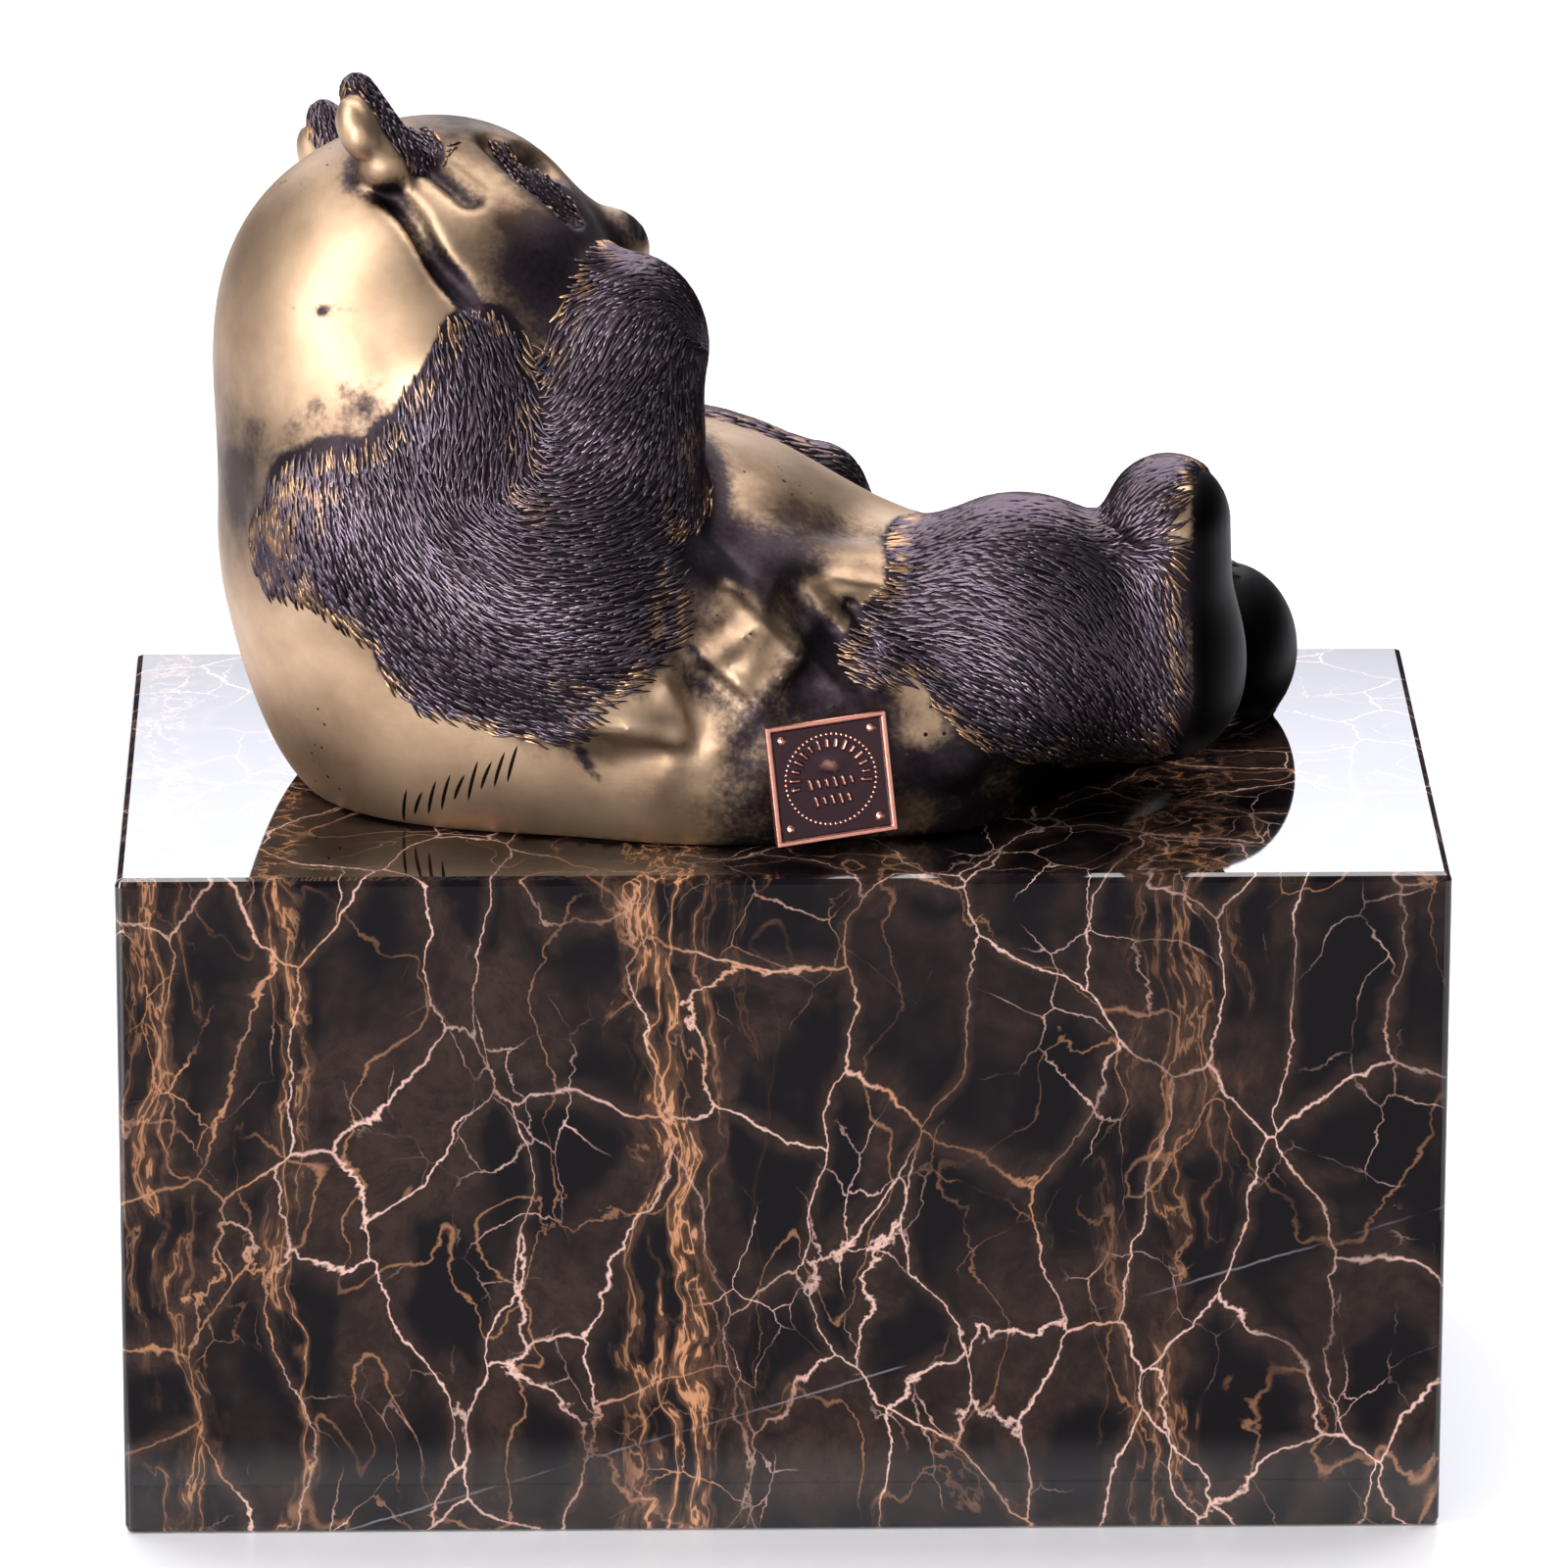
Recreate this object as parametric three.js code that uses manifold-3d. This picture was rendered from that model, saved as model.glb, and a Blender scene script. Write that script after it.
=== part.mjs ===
// A panda cast in bronze, lying back at its ease on a block of polished black marble,
// with a small square copper tag on its near flank. Millimetres, +Z up. The origin is the
// middle of the block's underside; the panda looks along +X and is seen from the -Y side.

import * as THREE from 'three';
import { mergeVertices } from 'three/addons/utils/BufferGeometryUtils.js';
import Module from 'manifold-3d';

const wasm = await Module();
wasm.setup();

// Marble block
const PLINTH_LENGTH = 150;
const PLINTH_DEPTH = 82;
const PLINTH_HEIGHT = 79;
const PLINTH_BEVEL = 0.9;
const PLINTH_CORNER_RADIUS = 1.0;

// Bronze figure: its pose below is drawn in units, of which so many make its length
const FIGURE_LENGTH = 126;
const POSE_LENGTH = 126;
const FIGURE_UNIT = FIGURE_LENGTH / POSE_LENGTH;
const SEAT_GAP = 0.3;
const CELLS_IN_LENGTH = 41;

// Copper tag
const TAG_SIDE = 13.8;
const TAG_THICKNESS = 1.2;
const TAG_RELIEF = 0.35;
const TAG_RIM_WIDTH = 0.55;
const TAG_STUD_RADIUS = 0.65;
const TAG_STUD_INSET = 1.75;
const TAG_RING_RADIUS = 5.2;
const TAG_RING_WIDTH = 0.35;
const TAG_STROKE_LENGTH = 0.9;
const TAG_STROKE_WIDTH = 0.3;
const TAG_ARC_STROKES = 12;
const TAG_ROW_STROKES = [6, 5];
const TAG_ROW_HEIGHTS = [-0.4, -2.4];
const TAG_FOOT_GAP = 1.4;
const TAG_FIT_GAP = 0.3;
const TAG_TURN = THREE.MathUtils.degToRad(11);
const TAG_LEAN = THREE.MathUtils.degToRad(6);
const TAG_ROLL = THREE.MathUtils.degToRad(5);

// Vectors of the pose

const at = (x, y, z) => new THREE.Vector3(x, y, z);

const HEAD_MIDDLE = at(-41, -4, 53.5);
const HEAD_FORWARD = at(0.93, 0.26, 0.26).normalize();
const HEAD_SIDE = at(-0.26, 0.92, -0.3).projectOnPlane(HEAD_FORWARD).normalize();
const HEAD_UP = new THREE.Vector3().crossVectors(HEAD_FORWARD, HEAD_SIDE);
const HEAD_AXES = [HEAD_FORWARD, HEAD_SIDE, HEAD_UP];

// A place on the head: so far forward, to the far side and up from its middle
function onHead(forward, side, up) {
  return HEAD_MIDDLE.clone()
    .addScaledVector(HEAD_FORWARD, forward)
    .addScaledVector(HEAD_SIDE, side)
    .addScaledVector(HEAD_UP, up);
}

// Distance to the nearest point of an ellipsoid, below zero inside it
function ball(p, middle, radii, axes) {
  const q = p.clone().sub(middle);
  if (axes) q.set(q.dot(axes[0]), q.dot(axes[1]), q.dot(axes[2]));
  const near = Math.hypot(q.x / radii[0], q.y / radii[1], q.z / radii[2]) + 1e-6;
  const slope = Math.hypot(q.x / radii[0] ** 2, q.y / radii[1] ** 2, q.z / radii[2] ** 2) + 1e-6;
  return near * (near - 1) / slope;
}

// Distance to a round limb that tapers from one end to the other; flatten, where given,
// is the direction and the share by which it is wider than round
function limb(p, from, to, fromRadius, toRadius, flatten) {
  const run = to.clone().sub(from);
  const q = p.clone().sub(from);
  const along = THREE.MathUtils.clamp(q.dot(run) / run.lengthSq(), 0, 1);
  q.addScaledVector(run, -along);
  if (flatten) q.addScaledVector(flatten.way, q.dot(flatten.way) * (flatten.share - 1));
  return q.length() - THREE.MathUtils.lerp(fromRadius, toRadius, along);
}

// Joins two forms with a soft crease of the given width
function join(a, b, crease) {
  const overlap = Math.max(crease - Math.abs(a - b), 0) / crease;
  return Math.min(a, b) - overlap * overlap * crease / 4;
}

// Takes form b out of form a
function carve(a, b, crease) {
  return -join(-a, b, crease);
}

// A chased line through places on the surface
function groove(p, places, radius) {
  const runs = places.slice(1).map((place, i) => limb(p, places[i], place, radius, radius));
  return Math.min(...runs);
}

function torso(p) {
  let d = ball(p, at(-6, -4, 10.5), [38.5, 29.6, 23.5]);
  d = join(d, ball(p, at(-27, -4, 7), [25.5, 22.3, 13]), 5);
  d = join(d, ball(p, at(-37.8, -4, 30), [26.1, 26.5, 33.5]), 14);
  d = join(d, ball(p, HEAD_MIDDLE, [22.8, 22.5, 23], HEAD_AXES), 9);
  return join(d, ball(p, at(-9, -6, 22), [19.5, 22, 19]), 7);
}

function face(p, body) {
  let d = join(body, ball(p, onHead(5.5, 0, 6.6), [16, 15, 15.1], HEAD_AXES), 4);
  d = join(d, limb(p, onHead(11, 0, 3.4), onHead(23.6, 0, 1), 10.6, 4.9), 3.5);
  for (const side of [-1, 1]) {
    d = join(d, ball(p, onHead(10, 9.5 * side, 1), [11.5, 12, 12], HEAD_AXES), 4);
    d = carve(d, ball(p, onHead(19.5, 8 * side, 13.5), [4.6, 2.6, 3.2], HEAD_AXES), 1.5);
    const backGroove = [
      onHead(-1.8, 13 * side, 19.8),
      onHead(0.4, 17.5 * side, 12.6),
      onHead(1, 20 * side, 7),
      onHead(2.5, 22.3 * side, 1.5),
    ];
    const frontGroove = [
      onHead(2.4, 13.5 * side, 20.5),
      onHead(5.3, 14 * side, 17),
      onHead(7.5, 16.8 * side, 12.4),
    ];
    d = carve(d, groove(p, backGroove, 1.6), 2.5);
    d = carve(d, groove(p, frontGroove, 1.3), 2.5);
  }
  return d;
}

// Each ear is a back and a front rim that meet at the tip, round a lump that fills the cup
function ears(p, body) {
  let d = body;
  for (const [side, tip] of [[-1, 28.6], [1, 25.5]]) {
    const backRim = limb(p, onHead(0.4, 14 * side, 19.5), onHead(-0.2, 13.8 * side, tip), 3.5, 1.5);
    const frontRim = limb(p, onHead(1.4, 12.2 * side, 20), onHead(0.2, 13 * side, tip - 0.6), 2.7, 1.5);
    d = join(d, join(backRim, frontRim, 1.5), 1.5);
    d = join(d, ball(p, onHead(-1.8, 15.8 * side, tip - 4.2), [2.3, 2.6, 3.8], HEAD_AXES), 0.8);
  }
  return d;
}

function nearArm(p, body) {
  const ruff = limb(p, at(-38, -20, 53), at(-36, -21.5, 41), 8.5, 10);
  const shoulder = limb(p, at(-44, -19, 37), at(-24, -24, 28), 13.5, 13.5);
  const upperArm = limb(p, at(-29, -23, 31), at(-21, -19.5, 45), 13, 11);
  const forearm = limb(p, at(-22, -24, 28), at(-17.6, -16.5, 53.2), 11.5, 8.4);
  const paw = ball(p, at(-17.2, -15.5, 55.8), [8.4, 8.9, 9.1]);
  const crease = [at(-33, -30.5, 56), at(-29.5, -32, 50), at(-32, -35, 43), at(-36, -36, 38)];
  let d = join(join(join(body, ruff, 4), shoulder, 5), upperArm, 5);
  d = join(d, join(forearm, paw, 3), 4);
  return carve(d, groove(p, crease, 1.2), 3);
}

function farArm(p, body) {
  const upperArm = limb(p, at(-38, 16, 36), at(-6, 20, 26), 12, 8.5);
  const paw = limb(p, at(-6, 20, 26), at(4.5, 20, 25.5), 8.5, 6.3);
  return join(join(body, upperArm, 5), paw, 3);
}

function nearLeg(p, body) {
  const thigh = limb(p, at(10, -12, 12), at(27, -16, 22), 17, 14.3);
  const shin = limb(p, at(32, -15, 18), at(42, -14.5, 17), 13.2, 10.5);
  const broad = { way: at(0, 1, 0), share: 0.75 };
  const foot = limb(p, at(43.5, -14, 14), at(44, -15.5, 33.8), 8.3, 7, broad);
  const underside = limb(p, at(16, -16, 2), at(42, 2, 2), 10.5, 4.5);
  return join(join(join(join(body, thigh, 5), shin, 5), foot, 4), underside, 5);
}

function farLeg(p, body) {
  const shin = limb(p, at(14, 13, 10), at(46, 14, 8), 14, 10);
  const foot = ball(p, at(53, 17, 8), [8, 12, 9.5]);
  return join(join(body, shin, 6), foot, 5);
}

// The slack folds of the belly, the flank and the front of the thigh
function folds(p, body) {
  let d = join(body, limb(p, at(-15, -28, 34), at(-1.5, -27.5, 22.5), 4.2, 5.5), 2.5);
  d = join(d, limb(p, at(-2, -22, 28.5), at(9, -19.5, 27), 5, 4.6), 2.5);
  d = join(d, ball(p, at(-18, -30.5, 18.5), [8, 4.8, 6.5]), 2);
  d = join(d, limb(p, at(11, -26.5, 19), at(19.5, -26, 10), 4.2, 4.2), 1.5);
  d = join(d, limb(p, at(11, -24.5, 8), at(17, -22, 4.5), 5.5, 4), 2);
  const bellyCrease = [at(2.5, -28, 29), at(4, -31.5, 23), at(2.5, -33, 18.5)];
  const flankCrease = [
    at(-26.5, -33.5, 15),
    at(-17.5, -34.5, 12),
    at(-10, -34.5, 12.5),
    at(-8.5, -34.5, 17),
    at(-10, -34, 22),
  ];
  d = carve(d, groove(p, bellyCrease, 1.4), 2);
  return carve(d, groove(p, flankCrease, 1.3), 2);
}

// The whole figure as one distance, in units of the pose; the block's top is at z = 0
function figure(p) {
  return [face, ears, nearArm, farArm, nearLeg, farLeg, folds]
    .reduce((body, add) => add(p, body), torso(p));
}

// Room that the figure takes, in units of the pose
const ROOM_LOW = at(-70, -44, -18);
const ROOM_HIGH = at(65, 34, 90);
const PINCH_FILL = 0.05;

// Fills the few grid faces where the skin would touch itself along an edge only
function closePinches(values, cells, steps) {
  const pairs = [[steps[0], steps[1]], [steps[1], steps[2]], [steps[2], steps[0]]];
  let filled = true;
  while (filled) {
    filled = false;
    for (const here of cells) {
      for (const [u, v] of pairs) {
        const ring = [here, here + u, here + u + v, here + v];
        const inside = ring.map((n) => values[n] < 0);
        if (inside[0] !== inside[2] || inside[1] !== inside[3] || inside[0] === inside[1]) continue;
        const outside = ring.filter((n) => values[n] >= 0);
        outside.sort((a, b) => values[a] - values[b]);
        values[outside[0]] = -PINCH_FILL;
        filled = true;
      }
    }
  }
}

// Turns the distance into a closed skin: one point in each cell that the surface crosses,
// moved onto the surface, and one four-sided patch round each crossed grid edge
function skin(distance, low, high, cell) {
  const counts = high.clone().sub(low).divideScalar(cell).ceil().toArray().map((n) => n + 1);
  const index = (i, j, k) => (i * counts[1] + j) * counts[2] + k;
  const steps = [index(1, 0, 0), index(0, 1, 0), index(0, 0, 1)];
  const values = new Float64Array(counts[0] * counts[1] * counts[2]);
  for (let i = 0; i < counts[0]; i++) {
    for (let j = 0; j < counts[1]; j++) {
      for (let k = 0; k < counts[2]; k++) {
        values[index(i, j, k)] = distance(at(i, j, k).multiplyScalar(cell).add(low));
      }
    }
  }
  const cells = [];
  for (let i = 0; i < counts[0] - 1; i++) {
    for (let j = 0; j < counts[1] - 1; j++) {
      for (let k = 0; k < counts[2] - 1; k++) cells.push(index(i, j, k));
    }
  }
  closePinches(values, cells, steps);
  const corners = [];
  for (let n = 0; n < 8; n++) corners.push([n >> 2, (n >> 1) & 1, n & 1]);
  const points = [];
  const pointOf = new Map();
  for (let i = 0; i < counts[0] - 1; i++) {
    for (let j = 0; j < counts[1] - 1; j++) {
      for (let k = 0; k < counts[2] - 1; k++) {
        const sum = at(0, 0, 0);
        let crossings = 0;
        for (const corner of corners) {
          const here = index(i + corner[0], j + corner[1], k + corner[2]);
          for (let way = 0; way < 3; way++) {
            if (corner[way]) continue;
            const a = values[here];
            const b = values[here + steps[way]];
            if ((a < 0) === (b < 0)) continue;
            const place = at(i + corner[0], j + corner[1], k + corner[2]);
            place.setComponent(way, place.getComponent(way) + a / (a - b));
            sum.add(place);
            crossings++;
          }
        }
        if (!crossings) continue;
        const place = sum.divideScalar(crossings).multiplyScalar(cell).add(low);
        pointOf.set(index(i, j, k), points.length);
        points.push(settle(distance, place, cell));
      }
    }
  }
  const triangles = [];
  for (let i = 1; i < counts[0] - 1; i++) {
    for (let j = 1; j < counts[1] - 1; j++) {
      for (let k = 1; k < counts[2] - 1; k++) {
        const here = index(i, j, k);
        for (let way = 0; way < 3; way++) {
          const inside = values[here] < 0;
          if (inside === (values[here + steps[way]] < 0)) continue;
          const u = steps[(way + 1) % 3];
          const v = steps[(way + 2) % 3];
          const ring = [here - u - v, here - v, here, here - u].map((n) => pointOf.get(n));
          if (!inside) ring.reverse();
          triangles.push(ring[0], ring[1], ring[2], ring[0], ring[2], ring[3]);
        }
      }
    }
  }
  return { points, triangles };
}

// Moves a point down the slope of the distance until it lies on the surface
function settle(distance, place, cell) {
  const reach = cell * 0.02;
  const start = place.clone();
  for (let round = 0; round < 4; round++) {
    const here = distance(place);
    const slope = at(0, 0, 0);
    for (let way = 0; way < 3; way++) {
      const beside = place.clone();
      beside.setComponent(way, beside.getComponent(way) + reach);
      slope.setComponent(way, (distance(beside) - here) / reach);
    }
    const step = slope.multiplyScalar(-here / Math.max(slope.lengthSq(), 0.5));
    place.add(step.clampLength(0, cell * 0.15));
  }
  const moved = place.clone().sub(start).clampLength(0, cell * 0.3);
  return start.add(moved);
}

function toSolid(geometry) {
  const plain = geometry.clone();
  plain.deleteAttribute('normal');
  plain.deleteAttribute('uv');
  const merged = mergeVertices(plain, 1e-5);
  return new wasm.Manifold(new wasm.Mesh({
    numProp: 3,
    vertProperties: new Float32Array(merged.attributes.position.array),
    triVerts: new Uint32Array(merged.index.array),
  }));
}

function toGeometry(solid) {
  const mesh = solid.getMesh();
  const geometry = new THREE.BufferGeometry();
  geometry.setAttribute('position', new THREE.BufferAttribute(mesh.vertProperties, 3));
  geometry.setIndex(new THREE.BufferAttribute(mesh.triVerts, 1));
  geometry.computeVertexNormals();
  return geometry;
}

function block(x, y, z) {
  return new THREE.BoxGeometry(x, y, z);
}

function plinth() {
  const outline = new THREE.Shape();
  const x = PLINTH_LENGTH / 2 - PLINTH_CORNER_RADIUS;
  const y = PLINTH_DEPTH / 2 - PLINTH_CORNER_RADIUS;
  const quarter = Math.PI / 2;
  outline.absarc(x, y, PLINTH_CORNER_RADIUS, 0, quarter);
  outline.absarc(-x, y, PLINTH_CORNER_RADIUS, quarter, 2 * quarter);
  outline.absarc(-x, -y, PLINTH_CORNER_RADIUS, 2 * quarter, 3 * quarter);
  outline.absarc(x, -y, PLINTH_CORNER_RADIUS, 3 * quarter, 4 * quarter);
  const geometry = new THREE.ExtrudeGeometry(outline, {
    depth: PLINTH_HEIGHT - 2 * PLINTH_BEVEL,
    curveSegments: 4,
    bevelThickness: PLINTH_BEVEL,
    bevelSize: PLINTH_BEVEL,
    bevelOffset: -PLINTH_BEVEL,
    bevelSegments: 2,
  });
  return geometry.translate(0, 0, PLINTH_BEVEL);
}

// Where the tag's back lies against the flank, and how it is turned
const tagPlace = new THREE.Matrix4();
{
  const halfHeight = TAG_SIDE / 2 * (Math.cos(TAG_ROLL) + Math.sin(TAG_ROLL));
  const middle = at(5.2 * FIGURE_UNIT, -32.1 * FIGURE_UNIT, 0);
  middle.z = PLINTH_HEIGHT + TAG_FOOT_GAP + halfHeight;
  const turn = new THREE.Matrix4().makeRotationZ(TAG_TURN);
  const lean = new THREE.Matrix4().makeRotationX(Math.PI / 2 - TAG_LEAN);
  const roll = new THREE.Matrix4().makeRotationZ(TAG_ROLL);
  tagPlace.makeTranslation(middle.x, middle.y, middle.z);
  tagPlace.multiply(turn).multiply(lean).multiply(roll);
}

// The tag lies flat here with its back at z = 0, and is then set in its place
function tag() {
  const face = TAG_THICKNESS;
  const slab = (x, y, w, h) => toSolid(
    block(w, h, face + TAG_RELIEF).translate(x, y, (face + TAG_RELIEF) / 2),
  );
  const inner = TAG_SIDE - 2 * TAG_RIM_WIDTH;
  let solid = slab(0, 0, TAG_SIDE, TAG_SIDE);
  solid = solid.subtract(toSolid(block(inner, inner, TAG_RELIEF * 2).translate(0, 0, face + TAG_RELIEF)));
  const stud = TAG_SIDE / 2 - TAG_STUD_INSET;
  for (const [sx, sy] of [[1, 1], [-1, 1], [-1, -1], [1, -1]]) {
    const post = new THREE.CylinderGeometry(TAG_STUD_RADIUS * 0.6, TAG_STUD_RADIUS, face + TAG_RELIEF, 10);
    post.rotateX(Math.PI / 2).translate(sx * stud, sy * stud, (face + TAG_RELIEF) / 2);
    solid = solid.add(toSolid(post));
  }
  const ringProfile = [
    new THREE.Vector2(TAG_RING_RADIUS - TAG_RING_WIDTH, face / 2),
    new THREE.Vector2(TAG_RING_RADIUS + TAG_RING_WIDTH, face / 2),
    new THREE.Vector2(TAG_RING_RADIUS, face + TAG_RELIEF),
    new THREE.Vector2(TAG_RING_RADIUS - TAG_RING_WIDTH, face / 2),
  ];
  const ring = new THREE.LatheGeometry(ringProfile, 32).rotateX(Math.PI / 2);
  solid = solid.add(toSolid(ring));
  const strokeRadius = TAG_RING_RADIUS - TAG_RING_WIDTH - TAG_STROKE_LENGTH;
  for (let n = 0; n < TAG_ARC_STROKES; n++) {
    const turn = Math.PI * (n / (TAG_ARC_STROKES - 1) - 0.5);
    const stroke = block(TAG_STROKE_WIDTH, TAG_STROKE_LENGTH, face + TAG_RELIEF * 0.7);
    stroke.translate(0, strokeRadius, (face + TAG_RELIEF * 0.7) / 2).rotateZ(turn);
    solid = solid.add(toSolid(stroke));
  }
  TAG_ROW_STROKES.forEach((count, row) => {
    for (let n = 0; n < count; n++) {
      const x = (n - (count - 1) / 2) * TAG_STROKE_LENGTH;
      const stroke = block(TAG_STROKE_WIDTH, TAG_STROKE_LENGTH, face + TAG_RELIEF * 0.7);
      stroke.translate(x, TAG_ROW_HEIGHTS[row], (face + TAG_RELIEF * 0.7) / 2);
      solid = solid.add(toSolid(stroke));
    }
  });
  return toGeometry(solid).applyMatrix4(tagPlace);
}

// The figure sits on a flat cut just above the block, with a flat seat for the tag
function panda() {
  const { points, triangles } = skin(figure, ROOM_LOW, ROOM_HIGH, POSE_LENGTH / CELLS_IN_LENGTH);
  const geometry = new THREE.BufferGeometry().setFromPoints(points);
  geometry.setIndex(triangles);
  geometry.scale(FIGURE_UNIT, FIGURE_UNIT, FIGURE_UNIT);
  const seat = PLINTH_HEIGHT + SEAT_GAP;
  geometry.translate(0, 0, PLINTH_HEIGHT);
  const below = block(2 * FIGURE_LENGTH, 2 * FIGURE_LENGTH, FIGURE_LENGTH);
  below.translate(0, 0, seat - FIGURE_LENGTH / 2);
  const tagSpan = TAG_SIDE + 2 * TAG_FIT_GAP;
  const tagRoom = block(tagSpan, tagSpan, FIGURE_LENGTH / 4);
  tagRoom.translate(0, 0, FIGURE_LENGTH / 8 - TAG_FIT_GAP).applyMatrix4(tagPlace);
  return toGeometry(toSolid(geometry).subtract(toSolid(below)).subtract(toSolid(tagRoom)));
}

function finish(name, geometry, colour, roughness, metalness) {
  const material = new THREE.MeshStandardMaterial({ color: colour, roughness, metalness });
  const mesh = new THREE.Mesh(geometry, material);
  mesh.name = name;
  return mesh;
}

const sculpture = new THREE.Group();
sculpture.add(finish('plinth', plinth(), 0x1d1714, 0.08, 0));
sculpture.add(finish('panda', panda(), 0x8c7448, 0.34, 1));
sculpture.add(finish('tag', tag(), 0x8a5a4c, 0.4, 1));

export default sculpture;
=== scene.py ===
# %% [markdown]
# # A bronze panda on a marble block
# The real object has three pieces: a hollow bronze casting of a panda lying back, a small
# copper tag fixed to its flank, and a block of polished black marble that it lies on.
# This lesson dresses the measured model of it. The block keeps its measured shape and gets
# a marble finish. The panda and the tag are made again with finer meshes in the same place,
# because chased fur and stamped beads are too fine for the plain solids.

# %% Load the frame
import math

import bmesh
import bpy
import numpy as np
from mathutils import Matrix, Vector


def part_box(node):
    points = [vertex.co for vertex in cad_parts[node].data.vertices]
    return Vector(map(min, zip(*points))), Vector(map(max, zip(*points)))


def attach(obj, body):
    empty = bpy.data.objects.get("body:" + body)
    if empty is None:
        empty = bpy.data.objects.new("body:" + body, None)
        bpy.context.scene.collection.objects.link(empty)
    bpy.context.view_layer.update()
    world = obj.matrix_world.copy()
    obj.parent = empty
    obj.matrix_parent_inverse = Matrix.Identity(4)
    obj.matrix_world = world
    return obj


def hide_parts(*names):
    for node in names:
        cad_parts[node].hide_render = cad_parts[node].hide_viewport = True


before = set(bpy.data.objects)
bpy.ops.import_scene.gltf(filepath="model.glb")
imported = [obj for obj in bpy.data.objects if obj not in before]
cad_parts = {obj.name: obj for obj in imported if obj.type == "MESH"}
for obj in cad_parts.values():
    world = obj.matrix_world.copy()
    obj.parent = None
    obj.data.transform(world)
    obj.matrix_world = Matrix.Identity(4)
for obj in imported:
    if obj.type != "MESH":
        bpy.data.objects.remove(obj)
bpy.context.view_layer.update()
SCENE = bpy.context.scene
MM = 0.001
PLINTH_LOW, PLINTH_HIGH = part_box("plinth")
TOP = PLINTH_HIGH.z / MM
SEAT_GAP = 0.3  # the figure is ground flat this far above the block
print("block top at", round(TOP, 2), "mm")

# %% [markdown]
# ## Camera
# The picture was taken with a long lens from a little above the animal. The block's corners
# in the picture fix where the camera stood, so its place and turn are plain values here.

# %% Camera
CAMERA_PLACE = Vector((-0.02824, -1.29933, 0.51919))
CAMERA_YAW = math.radians(1.283)
CAMERA_PITCH = math.radians(18.827)
CAMERA_ROLL = math.radians(0.133)
SENSOR_WIDTH = 36.0
LENS_PER_WIDTH = 12147.2 / 1600  # focal length over picture width, both in pixels
FARTHEST_SEEN = 20

ahead = Vector((
    math.sin(CAMERA_YAW) * math.cos(CAMERA_PITCH),
    math.cos(CAMERA_YAW) * math.cos(CAMERA_PITCH),
    -math.sin(CAMERA_PITCH),
))
level = Vector((math.cos(CAMERA_YAW), -math.sin(CAMERA_YAW), 0))
upright = level.cross(ahead)
right = math.cos(CAMERA_ROLL) * level + math.sin(CAMERA_ROLL) * upright
up = -math.sin(CAMERA_ROLL) * level + math.cos(CAMERA_ROLL) * upright

camera_data = bpy.data.cameras.new("camera")
camera_data.sensor_width = SENSOR_WIDTH
camera_data.lens = LENS_PER_WIDTH * SENSOR_WIDTH
camera_data.clip_end = FARTHEST_SEEN
camera = bpy.data.objects.new("camera", camera_data)
facing = Matrix((right, up, -ahead)).transposed().to_4x4()
camera.matrix_world = Matrix.Translation(CAMERA_PLACE) @ facing
SCENE.collection.objects.link(camera)
SCENE.camera = camera
print("lens", round(camera_data.lens, 1), "mm")

# %% [markdown]
# ## Small helpers
# Colours are written as sRGB hex, as they are read off a screen, and one function turns them
# to the linear values that Blender computes with. One more function adds a shader or
# geometry node with its settings and links, so that each finish reads as a short list.

# %% Helpers
def linear(hex_colour):
    """sRGB hex to linear red, green, blue and a full alpha."""
    parts = [int(hex_colour[i:i + 2], 16) / 255 for i in (1, 3, 5)]
    return [c / 12.92 if c <= 0.04045 else ((c + 0.055) / 1.055) ** 2.4 for c in parts] + [1.0]


def add(tree, kind, inputs=None, **settings):
    """Adds a node; inputs are values, sockets or whole nodes, and stops fill a colour ramp."""
    node = tree.nodes.new(kind)
    for stop, (place, grey) in enumerate(settings.pop("stops", [])):
        ramp = node.color_ramp.elements
        element = ramp[stop] if stop < 2 else ramp.new(place)
        element.position = place
        element.color = (grey, grey, grey, 1)
    for name, value in settings.items():
        setattr(node, name, value)
    for name, value in (inputs or {}).items():
        if isinstance(value, bpy.types.Node):
            value = next(socket for socket in value.outputs if socket.enabled)
        if isinstance(value, bpy.types.NodeSocket):
            tree.links.new(value, node.inputs[name])
        else:
            node.inputs[name].default_value = value
    return node


def new_material(name):
    material = bpy.data.materials.new(name)
    material.use_nodes = True
    material.node_tree.nodes.clear()
    return material, material.node_tree


def new_piece(name, points, faces, material=None):
    """A mesh object at the origin, its points given in millimetres."""
    mesh = bpy.data.meshes.new(name)
    mesh.from_pydata((np.asarray(points) * MM).tolist(), [], faces)
    mesh.update()
    mesh.shade_smooth()
    if material:
        mesh.materials.append(material)
    piece = bpy.data.objects.new(name, mesh)
    SCENE.collection.objects.link(piece)
    return piece


# %% [markdown]
# ## The panda as a distance
# A sculptor blocks an animal out as balls and tapering rolls of clay, then smooths the joins.
# The same is done here with numbers: each form gives the distance from a point to its skin,
# and forms are joined with a soft crease of a chosen width. The lengths are millimetres at
# the figure's real size, with z = 0 on top of the block. A tiny number in a divisor only
# keeps it from being zero.

# %% Distances
F4 = np.float32


def unit(v):
    v = np.asarray(v, float)
    return v / np.linalg.norm(v)


def length(q):
    return np.sqrt((q * q).sum(-1))


def join(a, b, crease):
    overlap = np.clip(crease - np.abs(a - b), 0, None) / crease
    return np.minimum(a, b) - overlap * overlap * crease / 4


def carve(a, b, crease):
    return -join(-a, b, crease)


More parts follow.
